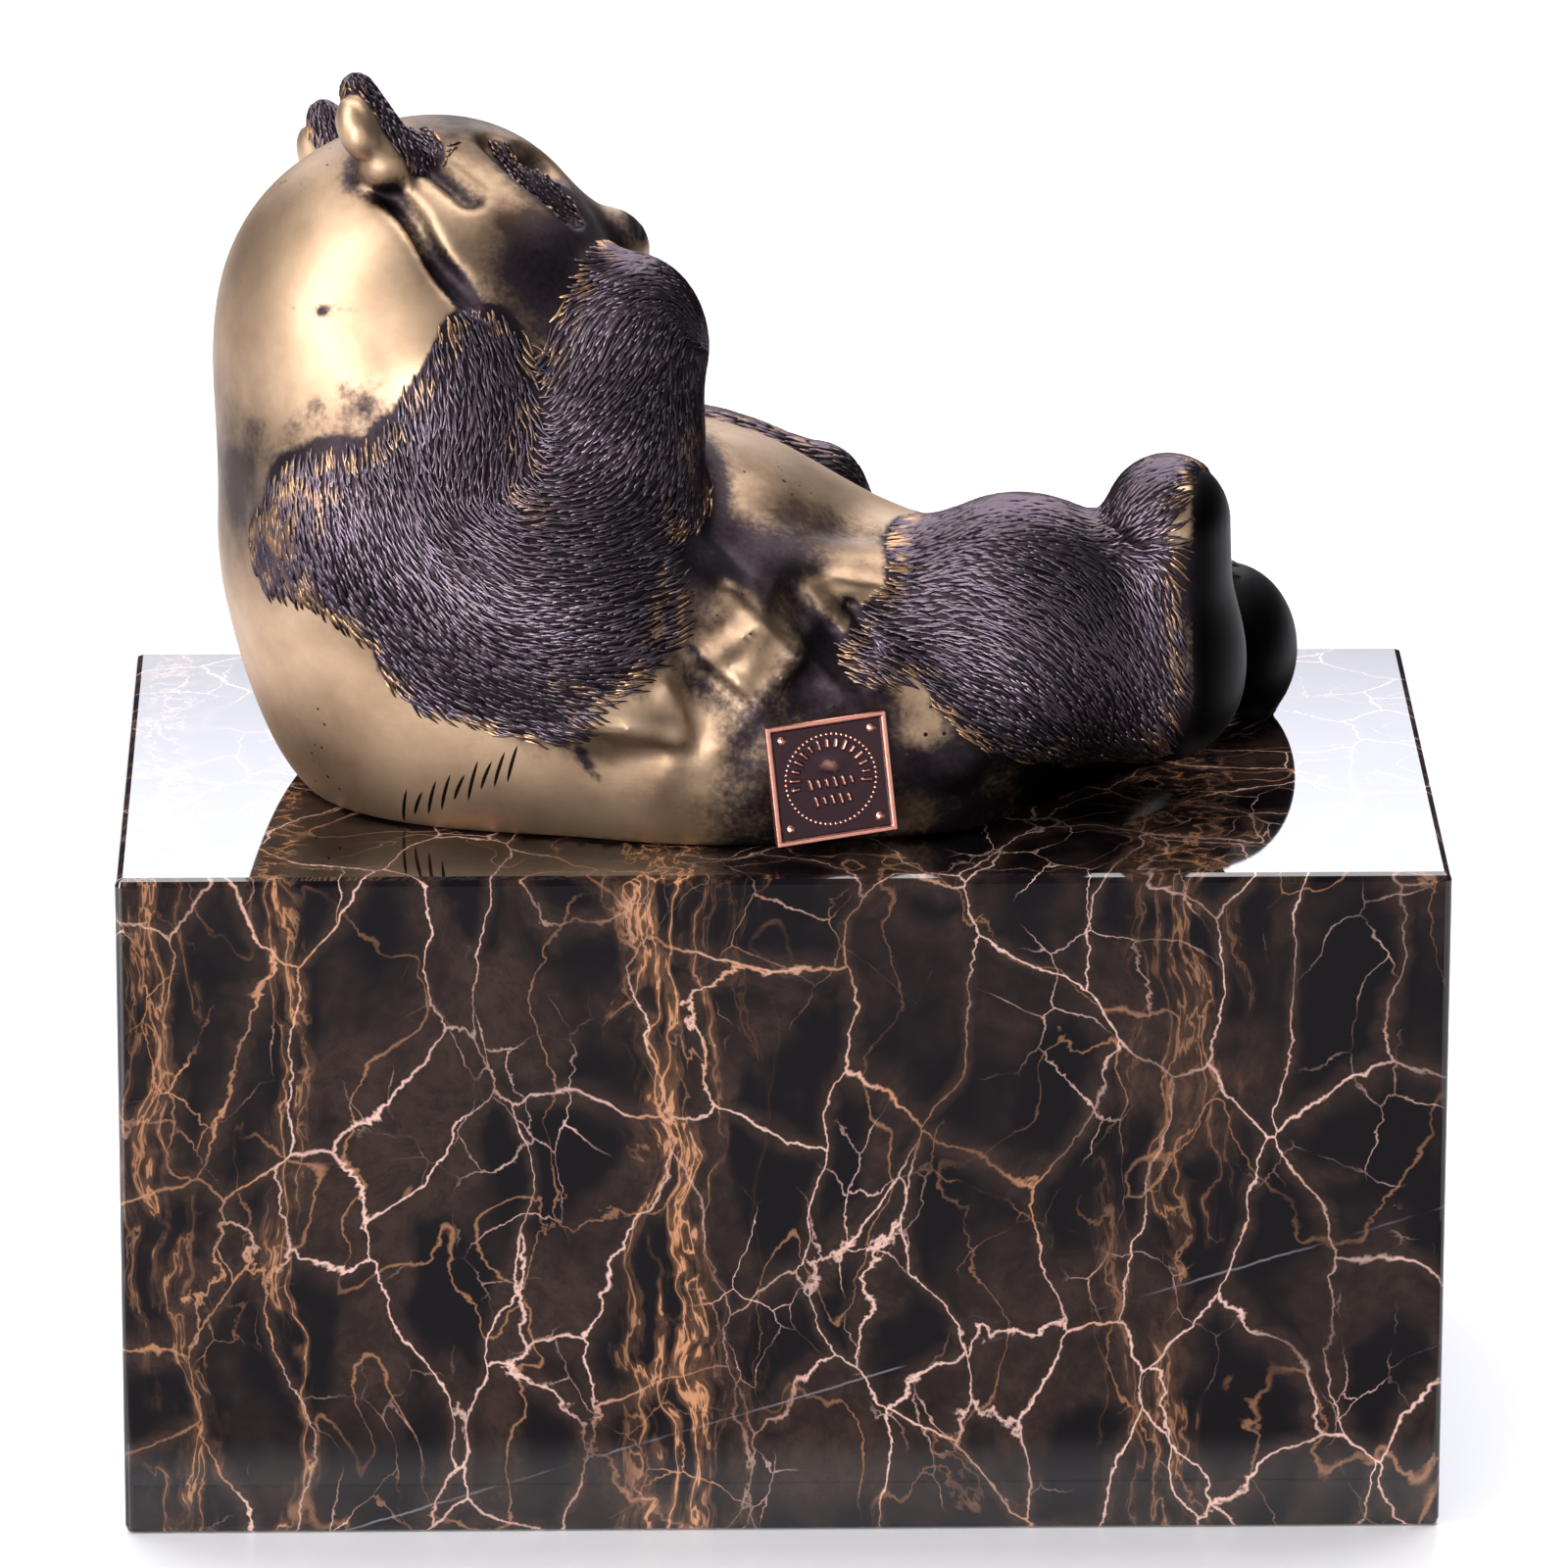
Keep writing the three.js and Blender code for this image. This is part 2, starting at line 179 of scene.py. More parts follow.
def ball(p, middle, radii, axes=None):
    q = p - np.asarray(middle, F4)
    if axes is not None:
        q = q @ np.asarray(axes, F4).T
    radii = np.asarray(radii, F4)
    near = length(q / radii) + 1e-6
    return near * (near - 1) / (length(q / radii ** 2) + 1e-6)


def limb(p, start, end, start_radius, end_radius, flatten=None):
    start, end = np.asarray(start, F4), np.asarray(end, F4)
    run = end - start
    q = p - start
    along = np.clip((q @ run) / (run @ run), 0, 1)
    q = q - along[:, None] * run
    if flatten:
        way, share = np.asarray(flatten[0], F4), flatten[1]
        q = q + way * ((q @ way) * (share - 1))[:, None]
    return length(q) - (start_radius + along * (end_radius - start_radius))


def smooth_step(low, high, x):
    t = np.clip((x - low) / (high - low), 0, 1)
    return t * t * (3 - 2 * t)


def groove(p, places, radius):
    return np.minimum.reduce([
        limb(p, a, b, radius, radius) for a, b in zip(places[:-1], places[1:])
    ])


# %% [markdown]
# ## Pose and carving
# The head has a frame of its own, because the animal looks up and away from the viewer. Eyes,
# ears and cheeks are placed in it in pairs. The limbs are rolls from joint to joint.

# %% Forms
HEAD_MIDDLE = np.array((-41.0, -4.0, 53.5))
HEAD_FORWARD = unit((0.93, 0.26, 0.26))
side_guess = np.array((-0.26, 0.92, -0.3))
HEAD_SIDE = unit(side_guess - HEAD_FORWARD * (side_guess @ HEAD_FORWARD))
HEAD_UP = np.cross(HEAD_FORWARD, HEAD_SIDE)
HEAD_AXES = np.stack([HEAD_FORWARD, HEAD_SIDE, HEAD_UP])


def on_head(forward, side, up):
    return HEAD_MIDDLE + HEAD_FORWARD * forward + HEAD_SIDE * side + HEAD_UP * up


def torso(p):
    d = ball(p, (-6, -4, 10.5), (38.5, 29.6, 23.5))
    d = join(d, ball(p, (-27, -4, 7), (25.5, 22.3, 13)), 5)
    d = join(d, ball(p, (-37.8, -4, 30), (26.1, 26.5, 33.5)), 14)
    d = join(d, ball(p, HEAD_MIDDLE, (22.8, 22.5, 23), HEAD_AXES), 9)
    return join(d, ball(p, (-9, -6, 22), (19.5, 22, 19)), 7)


def cheek_grooves(side):
    """The long groove from the ear down behind the cheek, and the short one before it."""
    long_one = [on_head(-1.8, 13 * side, 19.8), on_head(0.4, 17.5 * side, 12.6),
                on_head(1, 20 * side, 7), on_head(2.5, 22.3 * side, 1.5)]
    short_one = [on_head(2.4, 13.5 * side, 20.5), on_head(5.3, 14 * side, 17),
                 on_head(7.5, 16.8 * side, 12.4)]
    return (long_one, 1.2), (short_one, 1.1)


def face(p, body):
    d = join(body, ball(p, on_head(5.5, 0, 6.6), (16, 15, 15.1), HEAD_AXES), 4)
    d = join(d, limb(p, on_head(11, 0, 3.4), on_head(23.6, 0, 1), 10.6, 4.9), 3.5)
    for side in (-1, 1):
        d = join(d, ball(p, on_head(10, 9.5 * side, 1), (11.5, 12, 12), HEAD_AXES), 4)
        d = carve(d, ball(p, on_head(19.5, 8 * side, 13.5), (4.6, 2.6, 3.2), HEAD_AXES), 1.5)
        for places, radius in cheek_grooves(side):
            d = carve(d, groove(p, places, radius), 2)
        socket = [on_head(13.5, 10 * side, 17.5), on_head(15.5, 13.5 * side, 11.5),
                  on_head(17.5, 15.5 * side, 7)]
        d = carve(d, groove(p, socket, 1.7), 1.2)
    nostril = groove(p, [on_head(27.6, -1.5, 3.4), on_head(27.2, -3.6, 1.2)], 0.6)
    mouth = groove(p, [on_head(28, 0, -2), on_head(25, -4.4, -2.6), on_head(20, -8, -3)], 0.5)
    return carve(carve(d, nostril, 0.6), mouth, 0.8)


EAR_TIPS = [(-1, 28.2), (1, 25.5)]


def ear_lump(p, side, tip):
    return ball(p, on_head(-1.8, 15.8 * side, tip - 4.2), (2.3, 2.6, 3.8), HEAD_AXES)


def ears(p, body):
    d = body
    for side, tip in EAR_TIPS:
        back = limb(p, on_head(0.4, 14 * side, 19.5), on_head(-0.2, 13.8 * side, tip), 3.5, 1.5)
        front = limb(p, on_head(1.4, 12.2 * side, 20), on_head(0.2, 13 * side, tip - 0.6), 2.7, 1.5)
        d = join(d, join(back, front, 1.5), 1.5)
        d = join(d, ear_lump(p, side, tip), 0.8)
    return d


ARM_CREASE = [(-33, -30.5, 56), (-29.5, -32, 50), (-32, -35, 43), (-36, -36, 38)]


def near_arm_forms(p, swell=0):
    ruff = limb(p, (-38, -20, 53), (-36, -21.5, 41), 8.5 + swell, 10 + swell)
    shoulder = limb(p, (-44, -19, 37), (-24, -24, 28), 13.5 + swell, 13.5 + swell)
    upper = limb(p, (-29, -23, 31), (-21, -19.5, 45), 13 + swell, 11 + swell)
    fore = limb(p, (-22, -24, 28), (-17.6, -16.5, 53.2), 11.5 + swell, 8.4 + swell)
    paw = ball(p, (-17.2, -15.5, 55.8), np.array((8.4, 8.9, 9.1)) + swell)
    return ruff, shoulder, upper, join(fore, paw, 3)


def far_arm_forms(p, swell=0):
    upper = limb(p, (-38, 16, 36), (-6, 20, 26), 12 + swell, 8.5 + swell)
    return upper, limb(p, (-6, 20, 26), (4.5, 20, 25.5), 8.5 + swell, 6.3 + swell)


def near_leg_forms(p):
    thigh = limb(p, (10, -12, 12), (27, -16, 22), 17, 14.3)
    shin = limb(p, (32, -15, 18), (42, -14.5, 17), 13.2, 10.5)
    foot = limb(p, (43.5, -14, 14), (44, -15.5, 33.8), 8.3, 7, ((0, 1, 0), 0.75))
    return thigh, shin, foot, limb(p, (16, -16, 2), (42, 2, 2), 10.5, 4.5)


def far_leg_forms(p, swell=0):
    shin = limb(p, (14, 13, 10), (46, 14, 8), 14 + swell, 10 + swell)
    return shin, ball(p, (53, 17, 8), np.array((8, 12, 9.5)) + swell)


# finer creases: on the thigh's front, under the arm and across the belly
THIN_CREASES = [
    [(12.5, -31, 17), (17, -31, 12.5), (21.5, -30, 8)],
    [(11, -31.5, 20.5), (16, -31.8, 16.5), (21, -31, 12)],
    [(10, -30, 24), (13, -30.5, 22.5), (17, -31.5, 21.5)],
    [(-7, -33, 27), (-4, -33.5, 23.5), (-3, -33.5, 20)],
    [(-14, -34, 27), (-13.5, -34.5, 23), (-14.5, -35.5, 19)],
    [(7, -25, 28), (9, -26.5, 25), (9.5, -28, 22)],
]

# sharp raised folds, as of pinched clay, on the flank and the belly's side
RIDGES = [
    [(-26.3, -31.4, 14.4), (-23, -33.4, 15.8), (-17.5, -34.7, 15.4), (-12, -33, 13.8)],
    [(-13.1, -34.2, 20.1), (-11.2, -33, 14.4)],
    [(-5.9, -31.3, 30.6), (-2.1, -32.2, 26.3), (-4.3, -32.3, 20.6)],
    [(3.5, -25.9, 28.8), (7.9, -27.3, 23.5), (9.5, -28, 19)],
    [(5.8, -24.9, 29.6), (11.3, -24.1, 28.2)],
]

CREASE_RADIUS, CREASE_SOFTNESS = 0.55, 0.9
RIDGE_RADIUS, RIDGE_SOFTNESS = 0.5, 1.4
CRUMPLE_MIDDLE = np.array((-1.0, -29.0, 20.0))
CRUMPLE_REACH = np.array((15.0, 9.0, 11.0))
CRUMPLE_ACROSS = 1.1
CRUMPLE_UPWARDS = 0.8


def crumple(p):
    """Low sharp folds, as of slack skin, over the belly's side and the flank."""
    x, z = p[:, 0], p[:, 2]
    across = 1 - np.abs(np.sin(0.3 * x + 0.1 * z + 1.1 * np.sin(0.24 * z + 1)))
    upwards = 1 - np.abs(np.sin(0.16 * x - 0.3 * z + 1.2 * np.sin(0.21 * x)))
    near = np.exp(-(((p - CRUMPLE_MIDDLE) / CRUMPLE_REACH) ** 2).sum(1))
    return near * (CRUMPLE_ACROSS * across ** 2 + CRUMPLE_UPWARDS * upwards ** 2)


def folds(p, body):
    """Slack folds of the belly and flank, and the creases that part them."""
    d = join(body, limb(p, (-15, -28, 34), (-1.5, -27.5, 22.5), 4.2, 5.5), 2.5)
    d = join(d, limb(p, (-2, -22, 28.5), (9, -19.5, 27), 5, 4.6), 2.5)
    d = join(d, ball(p, (-18, -30.5, 18.5), (8, 4.8, 6.5)), 2)
    d = join(d, limb(p, (11, -26.5, 19), (19.5, -26, 10), 4.2, 4.2), 1.5)
    d = join(d, limb(p, (11, -24.5, 8), (17, -22, 4.5), 5.5, 4), 2)
    belly_crease = [(2.5, -28, 29), (4, -31.5, 23), (2.5, -33, 18.5)]
    flank_crease = [(-26.5, -33.5, 15), (-17.5, -34.5, 12), (-10, -34.5, 12.5),
                    (-8.5, -34.5, 17), (-10, -34, 22)]
    d = carve(d, groove(p, belly_crease, 1.4), 2)
    d = carve(d, groove(p, flank_crease, 1.3), 1.2)
    for crease in THIN_CREASES:
        d = carve(d, groove(p, crease, CREASE_RADIUS), CREASE_SOFTNESS)
    for ridge in RIDGES:
        d = join(d, groove(p, ridge, RIDGE_RADIUS), RIDGE_SOFTNESS)
    return d - crumple(p)


def figure(p):
    d = ears(p, face(p, torso(p)))
    for form, crease in zip(near_arm_forms(p), (4, 5, 5, 4)):
        d = join(d, form, crease)
    d = carve(d, groove(p, ARM_CREASE, 1.2), 3)
    for form, crease in zip(far_arm_forms(p), (5, 3)):
        d = join(d, form, crease)
    for form, crease in zip(near_leg_forms(p), (5, 5, 4, 5)):
        d = join(d, form, crease)
    for form, crease in zip(far_leg_forms(p), (6, 5)):
        d = join(d, form, crease)
    return folds(p, d)


# %% [markdown]
# ## From distance to skin
# The space round the figure is cut into small cubes. Each cube that the skin crosses gets one
# point, the mean of where the skin crosses its edges, and four neighbours make a face. To
# save time a coarse pass finds where the skin is, and only the fine cubes there are computed.

# %% Skin
ROOM_LOW = np.array((-70.0, -44.0, -3.0))
ROOM_HIGH = np.array((65.0, 34.0, 90.0))
COARSE = 3.0
FINE = 0.72
NEAR_SKIN = 1.6 * COARSE
CHUNK = 150000
SLOPE_REACH = 0.15


def in_chunks(function, p):
    return np.concatenate([function(p[i:i + CHUNK]) for i in range(0, len(p), CHUNK)])


def grid_points(low, high, step):
    ways = [np.arange(a, b + step, step, dtype=F4) for a, b in zip(low, high)]
    shape = tuple(len(w) for w in ways)
    return np.stack(np.meshgrid(*ways, indexing="ij"), -1).reshape(-1, 3), shape, ways


def fine_values(distance, low, high, step):
    """The distance on the fine grid, true near the skin and a rough value elsewhere."""
    points, shape, ways = grid_points(low, high, step)
    rough_points, rough_shape, _ = grid_points(low, high + COARSE, COARSE)
    rough = in_chunks(distance, rough_points).reshape(rough_shape)
    nearest = [np.clip(np.round((w - w[0]) / COARSE).astype(int), 0, n - 1)
               for w, n in zip(ways, rough_shape)]
    values = rough[np.ix_(*nearest)].reshape(-1)
    close = np.abs(values) < NEAR_SKIN
    values[close] = in_chunks(distance, points[close])
    return values.reshape(shape)


def skin(values, low, step):
    """One point per crossed cube and one face per crossed grid edge, facing out."""
    inside = values < 0
    size = np.array(values.shape) - 1
    corners = [(i, j, k) for i in (0, 1) for j in (0, 1) for k in (0, 1)]
    count = np.zeros(size, np.uint8)
    for i, j, k in corners:
        count += inside[i:i + size[0], j:j + size[1], k:k + size[2]]
    crossed = (count > 0) & (count < 8)
    cubes = np.argwhere(crossed)
    number = np.full(size, -1, np.int64)
    number[crossed] = np.arange(len(cubes))
    total, hits = np.zeros((len(cubes), 3)), np.zeros(len(cubes))
    for corner in corners:
        for way in range(3):
            if corner[way]:
                continue
            a = cubes + corner
            b = a.copy()
            b[:, way] += 1
            here, there = values[tuple(a.T)], values[tuple(b.T)]
            hit = (here < 0) != (there < 0)
            place = a.astype(float)
            place[:, way] += np.where(hit, here / (here - there + 1e-12), 0)
            total += place * hit[:, None]
            hits += hit
    points = total / hits[:, None] * step + low
    faces = []
    for way in range(3):
        u, v = (way + 1) % 3, (way + 2) % 3
        shift = np.zeros(3, int)
        shift[way] = 1
        ends = tuple(slice(s, None) for s in shift)
        starts = tuple(slice(0, -s or None) for s in shift)
        edges = np.argwhere(inside[starts] != inside[ends])
        fits = (edges[:, [u, v]] > 0).all(1) & (edges[:, [u, v]] < size[[u, v]]).all(1)
        edges = edges[fits]
        ring = []
        for du, dv in ((-1, -1), (0, -1), (0, 0), (-1, 0)):
            cube = edges.copy()
            cube[:, u] += du
            cube[:, v] += dv
            ring.append(number[tuple(cube.T)])
        ring = np.stack(ring, 1)
        turned = ~inside[tuple(edges.T)]
        ring[turned] = ring[turned][:, ::-1]
        faces.append(ring)
    return points, np.concatenate(faces)


def slope(distance, points):
    """The way in which the distance grows fastest, which is the skin's outward normal."""
    p = points.astype(F4)
    steps = np.eye(3, dtype=F4) * SLOPE_REACH
    rise = [in_chunks(distance, p + step) - in_chunks(distance, p - step) for step in steps]
    rise = np.stack(rise, 1)
    return rise / (length(rise)[:, None] + 1e-9)


values = fine_values(figure, ROOM_LOW, ROOM_HIGH, FINE)
skin_points, skin_faces = skin(values, ROOM_LOW, FINE)
print("panda skin:", len(skin_points), "points,", 2 * len(skin_faces), "triangles")

# %% [markdown]
# ## Where the fur is
# On the real casting the arms, legs and ears are chased as fur and stained dark, and the rest
# is polished. Fur zones are simply the limbs' own forms, a little swollen, with a yoke over
# the shoulder and a ruff at the neck. The hair's direction is given at a few places
# and spread between them, as a sculptor draws a few guide lines first.

# %% Zones
SOLE_PLACE = np.array((46.5, -15, 28.0))
SOLE_WAY = unit((1, -0.25, 0.1))
KNEE_BORDER = np.array((34, -25, 4.5))
KNEE_WAY = unit((0.45, -0.1, -1))


def arm_fur(p):
    """Each of these is below zero where the skin carries that fur."""
    ruff, shoulder, upper, fore = near_arm_forms(p)
    swell = 2.4 - 1.5 * smooth_step(-17, -10, p[:, 0]) * smooth_step(40, 32, p[:, 2])
    arm = np.minimum.reduce([ruff, shoulder - 1.2, upper - swell, fore - swell])
    core = np.minimum(limb(p, (-57, -21, 34), (-40, -31, 36), 3, 9),
                      groove(p, [(-40, -31, 36), (-24, -36, 29), (-16, -25, 57)], 9))
    yoke = limb(p, (-56, -21, 34), (-44, -26, 35.5), 4.5, 12.5)
    elbow = limb(p, (-38, -30, 24), (-28, -31, 19), 8, 6)
    neck = limb(p, (-33.6, -26.5, 57.5), (-36.5, -29.5, 48), 5.2, 7.5)
    nape = limb(p, (-37, -30.5, 46), (-47, -30.5, 40), 8, 6)
    zone = np.minimum.reduce([arm, yoke, elbow, neck, nape])
    return np.where(zone < 0, np.minimum(zone, core), zone)


def leg_fur(p):
    leg = np.minimum.reduce([
        ball(p, (27, -17, 24), (17.5, 19, 17)),
        limb(p, (34, -18, 20), (43, -18, 34), 14, 9.5),
    ])
    front = limb(p, (9, -27, 21), (16, -26, 27), 4, 6)
    leg = np.minimum(leg, front)
    leg = np.maximum(leg, (p - SOLE_PLACE) @ SOLE_WAY)
    return np.maximum(leg, (p - KNEE_BORDER) @ KNEE_WAY)


def far_fur(p):
    far_leg = np.maximum(far_leg_forms(p, 1.8)[0], p[:, 0] - 50)
    return np.minimum(np.minimum.reduce(far_arm_forms(p, 1.6)), far_leg)


def ear_fur(p):
    rims = [
        carve(limb(p, on_head(3, 12.5 * side, 20.5), on_head(0, 13 * side, tip), 5, 3),
              ear_lump(p, side, tip) - 0.3, 0.1)
        for side, tip in EAR_TIPS
    ]
    return np.minimum.reduce(rims)


def eye_fur(p):
    return np.minimum.reduce([
        limb(p, on_head(14.2, 9.5 * side, 17), on_head(17, 14.5 * side, 8.5), 1.5, 2.4)
        for side in (-1, 1)
    ])


# place on the skin, and the way the hair runs there
FUR_GUIDES = [
    ((-34.8, -26, 57.8), (0.15, 0, -1)), ((-32.7, -27, 52.4), (0, 0, -1)),
    ((-33.8, -28.8, 47.2), (-0.3, 0, -1)), ((-43.6, -31.4, 43.5), (0.35, 0, -1)),
    ((-49.2, -31.6, 37.8), (0.35, 0, -1)), ((-54.7, -27.4, 34.2), (0.3, 0, -1)),
    ((-41.5, -33.5, 31.5), (0.6, 0, -0.8)), ((-46, -29.4, 24.5), (0.6, 0, -0.8)),
    ((-35, -31.9, 20.6), (0.85, 0, -0.5)), ((-28.5, -32.4, 17), (1, 0, -0.15)),
    ((-34.9, -34.4, 36.4), (0.8, 0, -0.55)), ((-26.2, -33.7, 38.4), (1, 0, 0.1)),
    ((-26.2, -37.3, 30.4), (1, 0, 0.05)), ((-19.7, -36.4, 32.4), (1, 0, 0.25)),
    ((-17.4, -32.8, 38.1), (0.9, 0, 0.45)), ((-21.8, -29.3, 47.3), (0.7, 0, 0.7)),
    ((-15.2, -29.3, 43.9), (0.55, 0, 0.85)), ((-10.8, -24.1, 46.8), (0.4, 0, 0.9)),
    ((-23.9, -25.7, 54.2), (0.35, 0, 0.95)), ((-14.7, -25.9, 57.3), (0.5, 0, 0.8)),
    ((-16.6, -19.6, 65.9), (1, 0.2, 0.1)), ((-10.7, -20.4, 61.7), (0.7, 0, -0.5)),
    ((26.4, -18.4, 36.1), (1, 0, -0.2)), ((23.3, -27.3, 30), (1, 0, -0.45)),
    ((16.3, -27.1, 25.6), (1, 0, -0.1)), ((14.8, -29.7, 19), (1, 0, -0.7)),
    ((38.9, -25.2, 26.4), (0.4, 0, -1)), ((37.5, -26.9, 15.1), (0.5, 0, -1)),
    ((40.3, -21.5, 37.6), (0.8, 0, 0.6)), ((40.9, -19.9, 39.1), (0.7, 0, 0.7)),
    ((45.2, -24.7, 26.8), (0.35, 0, -1)), ((33.2, -29.5, 22.9), (0.8, 0, -0.9)),
    ((-38, 28, 36), (0.9, 0, -0.4)), ((-6, 28, 27), (1, 0, -0.1)), ((3, 25, 25), (1, 0, -0.1)),
    ((14, 26, 12), (1, 0, 0)), ((40, 24, 10), (1, 0, 0)), ((40, 14, 18), (1, 0, 0.1)),
]
for side in (-1, 1):
    eye_way = on_head(17, 14.5 * side, 8.5) - on_head(14.2, 9.5 * side, 17)
    FUR_GUIDES += [(on_head(14.7, 11 * side, 14.5), eye_way),
                   (on_head(16.5, 13.8 * side, 10), eye_way)]
# square millimetres added to a guide's squared distance, and the ears' greater pull
GUIDE_SOFTNESS = 6
EAR_SOFTNESS = 2
EAR_PULL = 4


def fur_flow(points, normals):
    """Hair direction at each point: nearby guides weigh most; it lies in the skin."""
    total = np.zeros_like(points)
    for place, way in FUR_GUIDES:
        weight = 1 / (((points - np.array(place)) ** 2).sum(1) + GUIDE_SOFTNESS) ** 2
        total += weight[:, None] * unit(way)
    for side, tip in EAR_TIPS:
        away = ((points - on_head(0, 13 * side, tip - 3)) ** 2).sum(1)
        weight = EAR_PULL / (away + EAR_SOFTNESS) ** 2
        total += weight[:, None] * HEAD_UP
    total -= normals * (total * normals).sum(1)[:, None]
    return total / (length(total)[:, None] + 1e-9)


skin_normals = slope(figure, skin_points)
skin_flow = fur_flow(skin_points, skin_normals)
FURS = {"arm": arm_fur, "leg": leg_fur, "far": far_fur, "ear": ear_fur, "eye": eye_fur}
FUR_SCALE = 6.0  # the depth of fur, in mm, that the attribute writes as 1
fur_depths = {name: -in_chunks(form, skin_points.astype(F4)) for name, form in FURS.items()}
fur_depth = np.maximum.reduce(list(fur_depths.values()))
print("share of the skin with fur:", round(float((fur_depth > 0).mean()), 2))

# %% [markdown]
# ## Where the patina and the painted shade are
# A patina is brushed on and then rubbed back, so it stays in hollows and in the fur, and
# wears off what stands proud. How closed-in each point is can be read from the distance
# itself: step off the skin, and see how much less than that step the distance has grown.
# Painted shade is added too: near-black below the near leg, and brown on the face and belly.

# %% Patina
HOLLOW_STEPS = (1.5, 4.0, 9.0)
HOLLOW_GAIN = 1.6
GROOVE_STAIN = 0.9
RIDGE_RUB = 0.6
RIDGE_REACH = 1.3


def closed_in(points, normals):
    total = np.zeros(len(points))
    for step in HOLLOW_STEPS:
        grown = in_chunks(figure, (points + normals * step).astype(F4)) / step
        total += np.clip(1 - grown, 0, 1)
    return np.clip(total / len(HOLLOW_STEPS) * HOLLOW_GAIN, 0, 1)


def fading_spot(place, radius):
    """1 at the place, and next to nothing at twice the radius."""
    return np.exp(-(length(skin_points - np.array(place)) / radius) ** 2)


x, y, z = skin_points.T
skin_hollow = closed_in(skin_points, skin_normals)
skin_hollow *= 1 - 0.45 * smooth_step(54, 62, z)
band = smooth_step(-44, -64, x) * smooth_step(20, 34, z) * smooth_step(50, 37, z)
soles = smooth_step(44, 48, x) * smooth_step(-0.5, -2, fur_depth)
# painted shade: the low part of the near leg, over the block, is made dark as if it lay in shadow
painted_shade_under_leg = smooth_step(20, 32, x) * smooth_step(14, 8, z)
belly = smooth_step(-16, -4, x) * smooth_step(39, 33, z) * smooth_step(-4, -18, y)
flank = smooth_step(-32, -22, x) * smooth_step(-26, -30, y) * smooth_step(8, 14, z)
grooved = np.zeros(len(skin_points))
for side in (-1, 1):
    for places, radius in cheek_grooves(side):
        away = in_chunks(lambda p: groove(p, places, radius), skin_points.astype(F4))
        grooved = np.maximum(grooved, smooth_step(GROOVE_STAIN, -0.3, away))
# the dark value: patina in the fur, the hollows and the grooves, and painted shade below the near
# leg
skin_dark = np.maximum.reduce([
    smooth_step(-0.8, 0.8, fur_depth), soles, painted_shade_under_leg, 0.14 * band, skin_hollow,
    0.56 * belly, 0.46 * flank, 0.8 * grooved,
])
# where the patina was left on by hand, or rubbed off, and where shade is painted beside the muzzle:
# place, radius, amount
PATINA_AND_SHADE_SPOTS = [
    ((-27, -20, 64.5), 6, 0.7), ((-33, -21, 65), 4, 0.15), ((-21, -17, 66.5), 5, 0.4),
    ((-10.8, -26.7, 38.4), 6, 0.6), ((-4, -26, 32.5), 7, 0.25), ((5.7, -30, 20), 4, 0.6),
    ((6, -27.5, 25), 3, 0.3), ((17, -29, 9), 4, 0.4), ((-45, -30, 47), 7, 0.22),
    ((-4.3, -32.8, 24), 5, -0.42), ((-12, -33.5, 14.5), 4.5, -0.55),
    ((-19, -34, 13), 4.5, -0.45),
    ((-8.7, -32.2, 19), 3, 0.3), ((14.5, -30.3, 18.7), 2.6, -0.35), ((16, -30.7, 13.5), 3, -0.4),
    ((14.6, -28.6, 4), 3.5, -0.4), ((9, -21, 32), 5, -0.4), ((9.5, -27.5, 27.5), 3, -0.35),
    # the spots along the near side of the muzzle are partly painted shade on the cheek and partly
    # patina; the eye patches and the nose are patina
    (on_head(15.5, -13.5, 12), 4.5, 0.6), (on_head(19.5, -12, 6), 5.5, 0.55),
    (on_head(22, -9, 2), 4.5, 0.5), (on_head(24, -6, 4), 4.5, 0.28),
    (on_head(15.5, 13.5, 12), 4.5, 0.6), (on_head(28, -1, 2.6), 2.6, 0.8),
    ((-22.8, -32.3, 11.5), 1.0, 0.9), ((-22, -32, 10), 0.9, 0.9),
    ((-21, -31.7, 8.6), 0.7, 0.8), ((-51.5, -23, 61), 0.8, 0.6), ((-54.5, -20.5, 60.5), 0.7, 0.5),
    ((-1.5, -28, 28.5), 4, -0.2), ((-57, -25, 28), 6, -0.3), ((-38, -17, 70), 4.5, -0.3),
    ((-50.1, -23.1, 61.6), 1.6, 0.26), ((-47.7, -24.2, 61.2), 1.2, 0.26),
    ((-52.1, -22.5, 60.5), 1.4, 0.23), ((-56.3, -23.8, 43.5), 2.6, 0.33),
    ((-54.6, -23.8, 48.1), 2.2, 0.26), ((-52.2, -24.9, 50.5), 1.4, 0.3),
    ((-46.7, -27.3, 51.6), 1.8, 0.3), ((-44.5, -29.3, 48.6), 1.6, 0.3),
    ((-51.3, -27.4, 46.3), 2.4, 0.23), ((-58.9, -19.3, 45.5), 3, 0.26),
    ((-49.1, -25.9, 53), 1.2, 0.26),
    ((-54.7, -27.3, 34.2), 3, 0.2), ((-51.5, -28.9, 30.1), 2.5, 0.2),
]
for place, radius, amount in PATINA_AND_SHADE_SPOTS:
    skin_dark = skin_dark + amount * fading_spot(place, radius)
for ridge in RIDGES:
    away = in_chunks(lambda p: groove(p, ridge, 0), skin_points.astype(F4))
    skin_dark = skin_dark - RIDGE_RUB * np.exp(-(away / RIDGE_REACH) ** 2)
skin_dark = np.clip(skin_dark, 0, 1)
# near-black: a patina on the soles, and painted shade below the near leg
skin_black_patina_and_shade = np.maximum(soles, painted_shade_under_leg)
